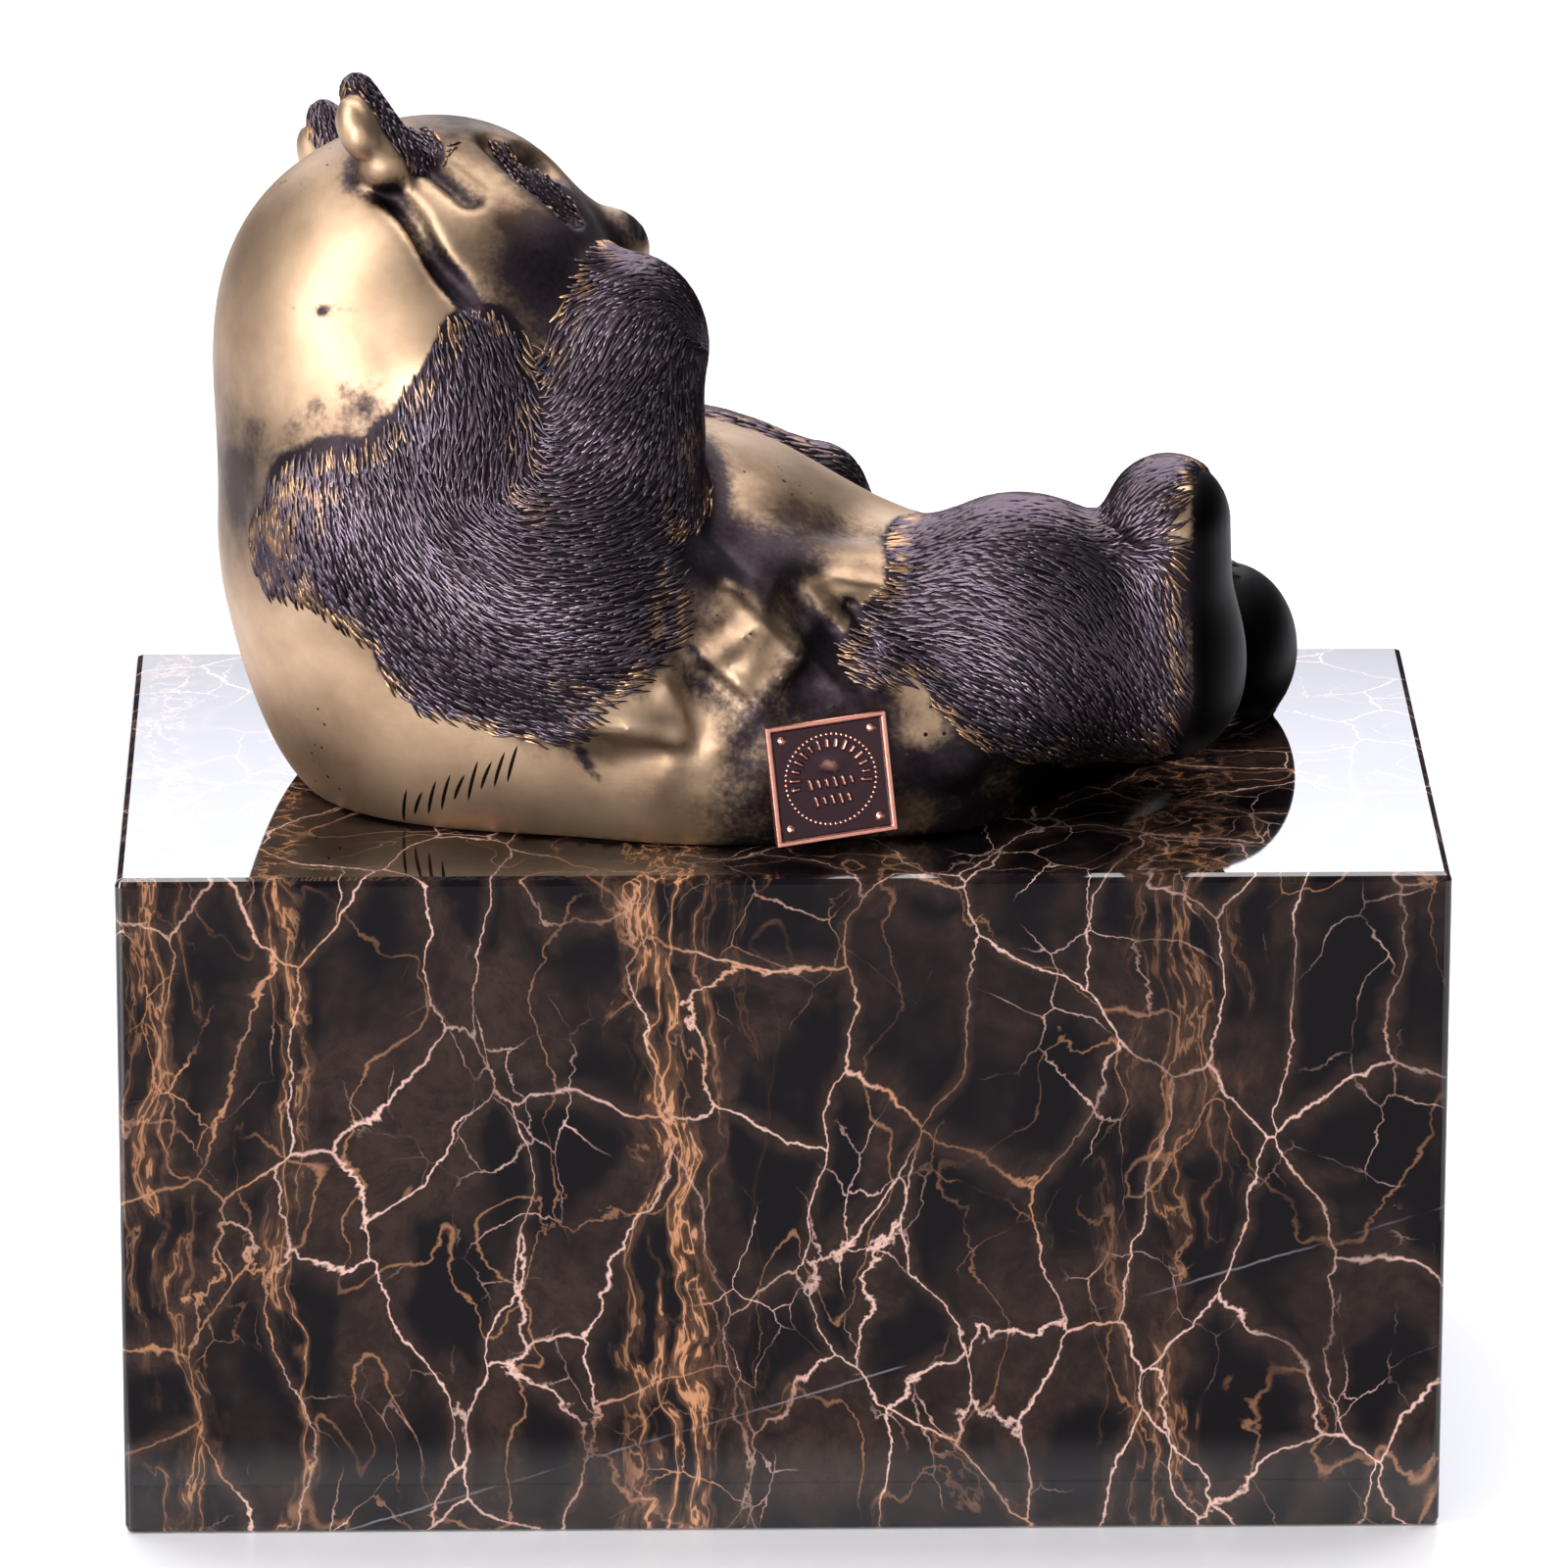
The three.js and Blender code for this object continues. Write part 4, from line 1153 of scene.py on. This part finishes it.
def marble_material():
    """Polished black and gold marble: a mirror gloss over dark rock with mineral veins."""
    material, tree = new_material("polished_black_gold_marble")
    place = add(tree, "ShaderNodeTexCoord").outputs["Object"]

    def stir(vector, scale, reach, detail=5):
        """Bends the places about, by up to half the reach, so that patterns wander."""
        noise = add(tree, "ShaderNodeTexNoise", {
            "Vector": vector, "Scale": scale, "Detail": detail, "Roughness": 0.6,
        })
        shift = add(tree, "ShaderNodeVectorMath", {
            0: noise.outputs["Color"], 1: (0.5, 0.5, 0.5),
        }, operation="SUBTRACT")
        far = add(tree, "ShaderNodeVectorMath", {0: shift, "Scale": reach}, operation="SCALE")
        return add(tree, "ShaderNodeVectorMath", {0: vector, 1: far}, operation="ADD")

    def clouds(scale, low, high, low_out=0.0, high_out=1.0, detail=3, vector=place, roughness=0.6):
        """Soft-edged patches: noise from low to high is spread from low_out to high_out."""
        noise = add(tree, "ShaderNodeTexNoise", {
            "Vector": vector, "Scale": scale, "Detail": detail, "Roughness": roughness,
        })
        return add(tree, "ShaderNodeMapRange", {
            "Value": noise, "From Min": low, "From Max": high,
            "To Min": low_out, "To Max": high_out,
        }, interpolation_type="SMOOTHSTEP")

    def lines(value, level, width):
        """1 where the value is at the level, and 0 from the width on to either side."""
        above = add(tree, "ShaderNodeMath", {0: value, 1: level}, operation="SUBTRACT")
        away = add(tree, "ShaderNodeMath", {0: above}, operation="ABSOLUTE")
        return add(tree, "ShaderNodeMapRange", {
            "Value": away, "From Min": width, "From Max": 0.0,
        }, interpolation_type="SMOOTHSTEP")

    # cells about 14 and 9 mm wide, and where along the block each place is
    bent = stir(stir(place, 28, 0.018, 2), 150, 0.0042)
    tall = add(tree, "ShaderNodeMapping", {"Vector": bent, "Scale": (1, 1, 0.55)})
    cells = add(tree, "ShaderNodeTexVoronoi", {
        "Vector": tall, "Scale": 74,
    }, feature="DISTANCE_TO_EDGE")
    fine_place = add(tree, "ShaderNodeMapping", {
        "Vector": bent, "Scale": (1, 1, 0.7), "Location": (0.7, 0.4, 0.1),
    })
    fine_cells = add(tree, "ShaderNodeTexVoronoi", {
        "Vector": fine_place, "Scale": 115,
    }, feature="DISTANCE_TO_EDGE")
    across = add(tree, "ShaderNodeSeparateXYZ", {0: stir(place, 22, 0.02)})
    along = add(tree, "ShaderNodeMapRange", {
        "Value": across.outputs["X"], "From Min": PLINTH_LOW.x, "From Max": PLINTH_HIGH.x,
    })
    bands = add(tree, "ShaderNodeValToRGB", {"Fac": along}, stops=GOLD_BANDS)

    # brown haze in rounded lumps about 10 mm wide, and along the veins
    lump_place = add(tree, "ShaderNodeMapping", {
        "Vector": stir(place, 60, 0.01), "Scale": (1, 1, 0.55), "Location": (0.2, 0.5, 0.9),
    })
    lumps = add(tree, "ShaderNodeTexVoronoi", {
        "Vector": lump_place, "Scale": 95,
    }, feature="SMOOTH_F1")
    pocket = add(tree, "ShaderNodeMapRange", {
        "Value": lumps, "From Min": 0.36, "From Max": 0.5,
    }, interpolation_type="SMOOTHSTEP")
    smoke = clouds(38, 0.36, 0.62, detail=4)
    grain = clouds(420, 0.3, 0.75, 0.35, detail=6, vector=bent, roughness=0.75)
    lumpy = add(tree, "ShaderNodeMath", {0: pocket, 1: smoke}, operation="MULTIPLY")
    haze = add(tree, "ShaderNodeMath", {
        0: lumpy, 1: lines(cells, 0.0, HAZE_WIDTH),
    }, operation="MAXIMUM")
    grainy = add(tree, "ShaderNodeMath", {0: haze, 1: grain}, operation="MULTIPLY")
    brown = add(tree, "ShaderNodeMath", {0: grainy, 1: HAZE_SHARE}, operation="MULTIPLY")
    ground = add(tree, "ShaderNodeMix", {
        "Factor": brown, "A": MARBLE_BLACK, "B": MARBLE_BROWN,
    }, data_type="RGBA")

    # gold streaks 4 mm apart, ten times as tall, kept to the bands, and a few wisps elsewhere
    flow = add(tree, "ShaderNodeMapping", {
        "Vector": stir(place, 45, 0.012, 3), "Scale": (250, 250, 24),
    })
    streaks = add(tree, "ShaderNodeTexNoise", {
        "Vector": flow, "Scale": 1, "Detail": 5, "Roughness": 0.55,
    })
    dust = add(tree, "ShaderNodeMath", {0: grain, 1: 0.3}, operation="MULTIPLY")
    halo = add(tree, "ShaderNodeMath", {
        0: lines(streaks, 0.5, 0.09), 1: dust,
    }, operation="MULTIPLY")
    streak = add(tree, "ShaderNodeMath", {
        0: lines(streaks, 0.5, 0.024), 1: halo,
    }, operation="MAXIMUM")
    banded = add(tree, "ShaderNodeMath", {0: streak, 1: bands}, operation="MULTIPLY")
    wisp_place = add(tree, "ShaderNodeMapping", {
        "Vector": bent, "Scale": (1, 1, 0.5), "Location": (0.4, 0.8, 0.3),
    })
    wisps = add(tree, "ShaderNodeTexNoise", {
        "Vector": wisp_place, "Scale": 52, "Detail": 2, "Roughness": 0.5,
    })
    faint = add(tree, "ShaderNodeMath", {0: smoke, 1: 0.45}, operation="MULTIPLY")
    wisp = add(tree, "ShaderNodeMath", {
        0: lines(wisps, 0.5, 0.005), 1: faint,
    }, operation="MULTIPLY")
    gold = add(tree, "ShaderNodeMath", {0: banded, 1: wisp}, operation="MAXIMUM")
    golden = add(tree, "ShaderNodeMix", {
        "Factor": gold, "A": ground, "B": VEIN_GOLD,
    }, data_type="RGBA")

    # pale veins, each set strong in some places and faint in others
    elsewhere = add(tree, "ShaderNodeMapping", {"Vector": place, "Location": (0.5, 0, 0)})
    main_vein = add(tree, "ShaderNodeMath", {
        0: lines(cells, 0.0, VEIN_WIDTH), 1: clouds(34, 0.36, 0.6, 0.15, 0.95),
    }, operation="MULTIPLY")
    fine_vein = add(tree, "ShaderNodeMath", {
        0: lines(fine_cells, 0.0, VEIN_WIDTH),
        1: clouds(48, 0.48, 0.66, 0.0, 0.8, vector=elsewhere),
    }, operation="MULTIPLY")
    pale = add(tree, "ShaderNodeMath", {0: main_vein, 1: fine_vein}, operation="MAXIMUM")
    tint = add(tree, "ShaderNodeMix", {
        "Factor": clouds(40, 0.36, 0.52, detail=2), "A": VEIN_GOLD, "B": VEIN_PALE,
    }, data_type="RGBA")
    veined = add(tree, "ShaderNodeMix", {
        "Factor": pale, "A": golden, "B": tint,
    }, data_type="RGBA")

    # the seam: a slanting plane through the block, in parts
    spot = add(tree, "ShaderNodeSeparateXYZ", {0: stir(place, 300, 0.0006, 2)})
    rise = add(tree, "ShaderNodeMath", {
        0: spot.outputs["X"], 1: -SEAM_SLOPE, 2: spot.outputs["Z"],
    }, operation="MULTIPLY_ADD")
    seam = add(tree, "ShaderNodeMath", {
        0: lines(rise, SEAM_HEIGHT, SEAM_WIDTH), 1: clouds(60, 0.42, 0.58, 0.0, 0.45),
    }, operation="MULTIPLY")
    veined = add(tree, "ShaderNodeMix", {
        "Factor": seam, "A": veined, "B": SEAM_GREY,
    }, data_type="RGBA")
    shader = add(tree, "ShaderNodeBsdfPrincipled", {
        "Base Color": veined, "Roughness": 0.035, "IOR": 1.52,
    })
    add(tree, "ShaderNodeOutputMaterial", {"Surface": shader})
    return material


marble = marble_material()
plinth_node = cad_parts["plinth"]
for slot in plinth_node.material_slots:
    slot.material = marble
print("marble on", plinth_node.name)

# %% [markdown]
# ## Copper tag
# A stamped tag, 14 mm square: a raised rim, four rivet heads, a ring of beads, and rows of
# short strokes. Its face is a fine sheet raised by a height worked out for each point, and
# the beads and rivets are small domes set by Geometry Nodes.

# %% Tag place
TAG_SIDE = 13.8
TAG_THICKNESS = 1.2
TAG_RELIEF = 0.35
TAG_RIM_WIDTH = 0.55
TAG_MIDDLE = (5.2, -32.1)
TAG_FOOT_GAP = 1.4
TAG_TURN = math.radians(11)
TAG_LEAN = math.radians(6)
TAG_ROLL = math.radians(5)

tag_half_height = TAG_SIDE / 2 * (math.cos(TAG_ROLL) + math.sin(TAG_ROLL))
tag_place = (
    Matrix.Translation((TAG_MIDDLE[0], TAG_MIDDLE[1], TOP + TAG_FOOT_GAP + tag_half_height))
    @ Matrix.Rotation(TAG_TURN, 4, "Z")
    @ Matrix.Rotation(math.pi / 2 - TAG_LEAN, 4, "X")
    @ Matrix.Rotation(TAG_ROLL, 4, "Z")
)

# %% Tag finish
COPPER_RUBBED = linear("#d09080")
COPPER_DARK = linear("#3c2d31")
MOTTLE_SCALE = 1400  # mottling of 0.7 mm


def copper_material():
    """Antiqued copper: blackened in the ground, rubbed pink on what is raised."""
    material, tree = new_material("antiqued_stamped_copper")
    place = add(tree, "ShaderNodeTexCoord").outputs["Object"]
    raised = add(tree, "ShaderNodeAttribute", attribute_name="raised").outputs["Fac"]
    mottle = add(tree, "ShaderNodeTexNoise", {
        "Vector": place, "Scale": MOTTLE_SCALE, "Detail": 4,
    })
    sum_up = add(tree, "ShaderNodeMath", {
        0: mottle, 1: 0.5, 2: raised,
    }, operation="MULTIPLY_ADD")
    rubbed = add(tree, "ShaderNodeMapRange", {
        "Value": sum_up, "From Min": 0.4, "From Max": 0.95,
    })
    colour = add(tree, "ShaderNodeMix", {
        "Factor": rubbed, "A": COPPER_DARK, "B": COPPER_RUBBED,
    }, data_type="RGBA")
    bump = add(tree, "ShaderNodeBump", {
        "Strength": 0.35, "Distance": 0.00008, "Height": mottle,
    })
    shader = add(tree, "ShaderNodeBsdfPrincipled", {
        "Base Color": colour, "Metallic": 1.0, "Roughness": 0.36, "Normal": bump,
    })
    add(tree, "ShaderNodeOutputMaterial", {"Surface": shader})
    return material


copper = copper_material()

# %% Tag face
TAG_STEPS = 150
STROKE_ROWS = [(-0.4, 6), (-2.4, 5)]
STROKE_WIDTH = 0.28
STROKE_LENGTH = 1.0
STROKE_RISE = 0.75
STROKE_PITCH = 0.95
ARC_RADIUS = 4.15
ARC_SPAN = 1.1 * math.pi
ARC_STROKES = 15
ROW_LEAN = 0.2
RING_RADIUS = 5.2
EDGE = 0.12
BOSS_HEIGHT = 0.35
BACK_RAISED = 0.6


def stroke_height(x, y, middle, turn, beat):
    """A short rounded bar, beside which the height is 0; the beat varies its length."""
    size = STROKE_LENGTH * (0.8 + 0.2 * math.cos(beat))
    dx, dy = x - middle[0], y - middle[1]
    across = dx * math.cos(turn) + dy * math.sin(turn)
    along = -dx * math.sin(turn) + dy * math.cos(turn)
    away = np.hypot(across, np.clip(np.abs(along) - size / 2, 0, None))
    return STROKE_RISE * np.clip((STROKE_WIDTH / 2 - away) / EDGE + 0.5, 0, 1)


def tag_height(x, y):
    """The rim, the strokes in an arc and in rows, and the boss in the middle."""
    rim = TAG_SIDE / 2 - TAG_RIM_WIDTH
    height = smooth_step(rim - EDGE, rim + EDGE, np.maximum(np.abs(x), np.abs(y)))
    for n in range(ARC_STROKES):
        turn = ARC_SPAN * (n / (ARC_STROKES - 1) - 0.5)
        middle = (-ARC_RADIUS * math.sin(turn), ARC_RADIUS * math.cos(turn))
        height = np.maximum(height, stroke_height(x, y, middle, turn, 2.4 * n))
    for row, (row_place, count) in enumerate(STROKE_ROWS):
        for n in range(count):
            middle = ((n - (count - 1) / 2) * STROKE_PITCH, row_place)
            stroke = stroke_height(x, y, middle, ROW_LEAN, 1.9 * n + row)
            height = np.maximum(height, stroke)
    boss = np.exp(-((x / 1.3) ** 2 + ((y - 1.6) / 0.8) ** 2)) * BOSS_HEIGHT
    return np.maximum(height, boss)


line = np.linspace(-TAG_SIDE / 2, TAG_SIDE / 2, TAG_STEPS)
gx, gy = np.meshgrid(line, line, indexing="ij")
rise = tag_height(gx, gy)
front = np.stack([gx, gy, TAG_THICKNESS + TAG_RELIEF * rise], -1).reshape(-1, 3)
number = np.arange(TAG_STEPS * TAG_STEPS).reshape(TAG_STEPS, TAG_STEPS)
squares = [number[:-1, :-1], number[1:, :-1], number[1:, 1:], number[:-1, 1:]]
sheet = np.stack(squares, -1).reshape(-1, 4)
border = np.concatenate([number[:, 0], number[-1, 1:], number[-2::-1, -1], number[0, -2:0:-1]])
back = front[border] * (1, 1, 0)
back_numbers = len(front) + np.arange(len(border))
walls = np.stack([border, back_numbers, np.roll(back_numbers, -1), np.roll(border, -1)], 1)
tag_points = np.concatenate([front, back])
tag_world = np.array([tag_place @ Vector(p) for p in tag_points])
tag_faces = sheet.tolist() + walls.tolist() + [back_numbers[::-1].tolist()]
tag_piece = new_piece("copper_tag", tag_world, tag_faces, copper)
raised = np.concatenate([rise.ravel(), np.full(len(back), BACK_RAISED)])
store(tag_piece.data, "raised", raised)
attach(tag_piece, "root")
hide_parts("tag")
print("tag faces:", len(tag_piece.data.polygons))

# %% Beads and rivets
BEADS = 56
BEAD_RADIUS = 0.2
RIVET_RADIUS = 0.62
RIVET_INSET = 1.75
RIVET_SINK = 0.2
DOME_INPUTS = {"Radius": ("NodeSocketFloat", BEAD_RADIUS * MM)}


def domes_tree(material):
    tree, given = empty_tree("domes", DOME_INPUTS)
    dome = add(tree, "GeometryNodeMeshIcoSphere", {
        "Radius": given["Radius"], "Subdivisions": 2,
    })
    spots = add(tree, "GeometryNodeMeshToPoints", {"Mesh": given["Geometry"]})
    laid = add(tree, "GeometryNodeInstanceOnPoints", {
        "Points": spots, "Instance": dome,
    })
    real = add(tree, "GeometryNodeRealizeInstances", {"Geometry": laid})
    marked = add(tree, "GeometryNodeStoreNamedAttribute", {
        "Geometry": real, "Name": "raised", "Value": 0.8,
    }, data_type="FLOAT")
    dressed = add(tree, "GeometryNodeSetMaterial", {
        "Geometry": marked, "Material": material,
    })
    add(tree, "NodeGroupOutput", {"Geometry": dressed})
    return tree


domes = domes_tree(copper)


def set_domes(name, places, radius):
    spots = new_piece(name + "_spots", [tag_place @ Vector(p) for p in places], [])
    piece = grow(name, spots, domes, Radius=radius * MM)
    bpy.data.objects.remove(spots)
    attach(piece, "root")


bead_turns = [2 * math.pi * n / BEADS for n in range(BEADS)]
bead_ring = [
    (RING_RADIUS * math.cos(turn), RING_RADIUS * math.sin(turn), TAG_THICKNESS)
    for turn in bead_turns
]
rivet_at = TAG_SIDE / 2 - RIVET_INSET
rivets = [
    (sx * rivet_at, sy * rivet_at, TAG_THICKNESS - RIVET_SINK)
    for sx in (-1, 1) for sy in (-1, 1)
]
set_domes("tag_beads", bead_ring, BEAD_RADIUS)
set_domes("tag_rivets", rivets, RIVET_RADIUS)
print("beads:", BEADS, "rivets:", len(rivets))

# %% [markdown]
# ## Studio
# A pale floor runs back to a backdrop that is much brighter than white and fades towards its
# foot. The camera sees only the floor, but the polished top of the block mirrors the backdrop
# and so turns white. A tall soft box on the left makes the long highlight down the bronze, and
# a low one beside it lights the shaded side. A grey card lies in front of the block, so that
# its front face mirrors little and shows its veins, and the card turns to the floor's white
# at the edge by the block.

# %% Floor, cards and lights
FLOOR_HALF = 1.6
FLOOR_FRONT = -1.8
BACK_Y = 1.3
BACK_LEFT, BACK_RIGHT = -0.75, 0.45
BACK_LOW, BACK_FULL, BACK_HIGH = 0.42, 0.55, 0.76
BACK_BRIGHTNESS = 6.0
BACK_DIM = 0.6
CARD_LEFT, CARD_RIGHT = -0.16, 0.16
CARD_FRONT, CARD_BACK = -0.45, -0.0555
CARD_FADE = 0.016
CARD_HEIGHT = 0.00004
PAPER_WHITE = linear("#f4f3f7")
CARD_GREY = linear("#5e5c62")
BACKDROP_TINT = linear("#f2f4ff")
ROOM_TINT = linear("#dcd8ea")
ROOM_BRIGHTNESS = 0.1


def stage_piece(name, low, high, material):
    """A flat sheet between two corners; its front edge is at the lower height."""
    corners = [low, (high[0], low[1], low[2]), high, (low[0], high[1], high[2])]
    points = [tuple(c / MM for c in corner) for corner in corners]
    new_piece(name, points, [(0, 1, 2, 3)], material)


def paper_material():
    """White paper with a faint sheen."""
    material, tree = new_material("white_paper")
    shader = add(tree, "ShaderNodeBsdfPrincipled", {
        "Base Color": PAPER_WHITE, "Roughness": 0.25,
    })
    add(tree, "ShaderNodeOutputMaterial", {"Surface": shader})
    return material


def graded_card_material():
    """Card that goes from grey to the floor's white at its edge by the block."""
    material, tree = new_material("graded_card")
    place = add(tree, "ShaderNodeTexCoord").outputs["Object"]
    axes = add(tree, "ShaderNodeSeparateXYZ", {0: place})
    grade = add(tree, "ShaderNodeMapRange", {
        "Value": axes.outputs["Y"], "From Min": CARD_BACK - CARD_FADE, "From Max": CARD_BACK,
    }, interpolation_type="SMOOTHSTEP")
    colour = add(tree, "ShaderNodeMix", {
        "Factor": grade, "A": CARD_GREY, "B": PAPER_WHITE,
    }, data_type="RGBA")
    shader = add(tree, "ShaderNodeBsdfPrincipled", {"Base Color": colour, "Roughness": 0.8})
    add(tree, "ShaderNodeOutputMaterial", {"Surface": shader})
    return material


def glow_material():
    """A lit backdrop, as bright as an over-exposed white."""
    material, tree = new_material("lit_backdrop")
    place = add(tree, "ShaderNodeTexCoord").outputs["Object"]
    axes = add(tree, "ShaderNodeSeparateXYZ", {0: place})
    strength = add(tree, "ShaderNodeMapRange", {
        "Value": axes.outputs["Z"], "From Min": BACK_LOW, "From Max": BACK_FULL,
        "To Min": BACK_DIM, "To Max": BACK_BRIGHTNESS,
    }, interpolation_type="SMOOTHSTEP")
    shader = add(tree, "ShaderNodeEmission", {"Color": BACKDROP_TINT, "Strength": strength})
    add(tree, "ShaderNodeOutputMaterial", {"Surface": shader})
    return material


stage_piece("floor", (-FLOOR_HALF, FLOOR_FRONT, 0), (FLOOR_HALF, BACK_Y, 0), paper_material())
stage_piece("backdrop", (BACK_LEFT, BACK_Y, BACK_LOW), (BACK_RIGHT, BACK_Y, BACK_HIGH),
            glow_material())
stage_piece("grey_card", (CARD_LEFT, CARD_FRONT, CARD_HEIGHT), (CARD_RIGHT, CARD_BACK, CARD_HEIGHT),
            graded_card_material())

LIGHTS = {
    # name: place, aim, size, watts
    "key_left": ((-0.84, -0.46, 0.76), (-0.04, -0.02, 0.12), (0.2, 1.3), 15.5),
    "fill_left": ((-0.55, -1.0, 0.1), (-0.03, -0.02, 0.09), (0.6, 0.3), 14),
    "fill_front": ((0.35, -1.2, 0.3), (0.0, 0, 0.08), (0.8, 0.5), 2.8),
    "floor_wash": ((0.0, 0.45, 1.3), (0.0, 0.35, 0.0), (1.6, 0.8), 26),
}
for name, (place, aim, size, watts) in LIGHTS.items():
    data = bpy.data.lights.new(name, "AREA")
    data.shape = "RECTANGLE"
    data.size, data.size_y = size
    data.energy = watts
    lamp = bpy.data.objects.new(name, data)
    lamp.location = place
    lamp.rotation_euler = (Vector(aim) - Vector(place)).to_track_quat("-Z", "Y").to_euler()
    SCENE.collection.objects.link(lamp)

world = bpy.data.worlds.new("studio")
SCENE.world = world
world.use_nodes = True
background = world.node_tree.nodes["Background"]
background.inputs["Color"].default_value = ROOM_TINT
background.inputs["Strength"].default_value = ROOM_BRIGHTNESS
SCENE.view_settings.view_transform = "Standard"
print("lights:", ", ".join(LIGHTS))
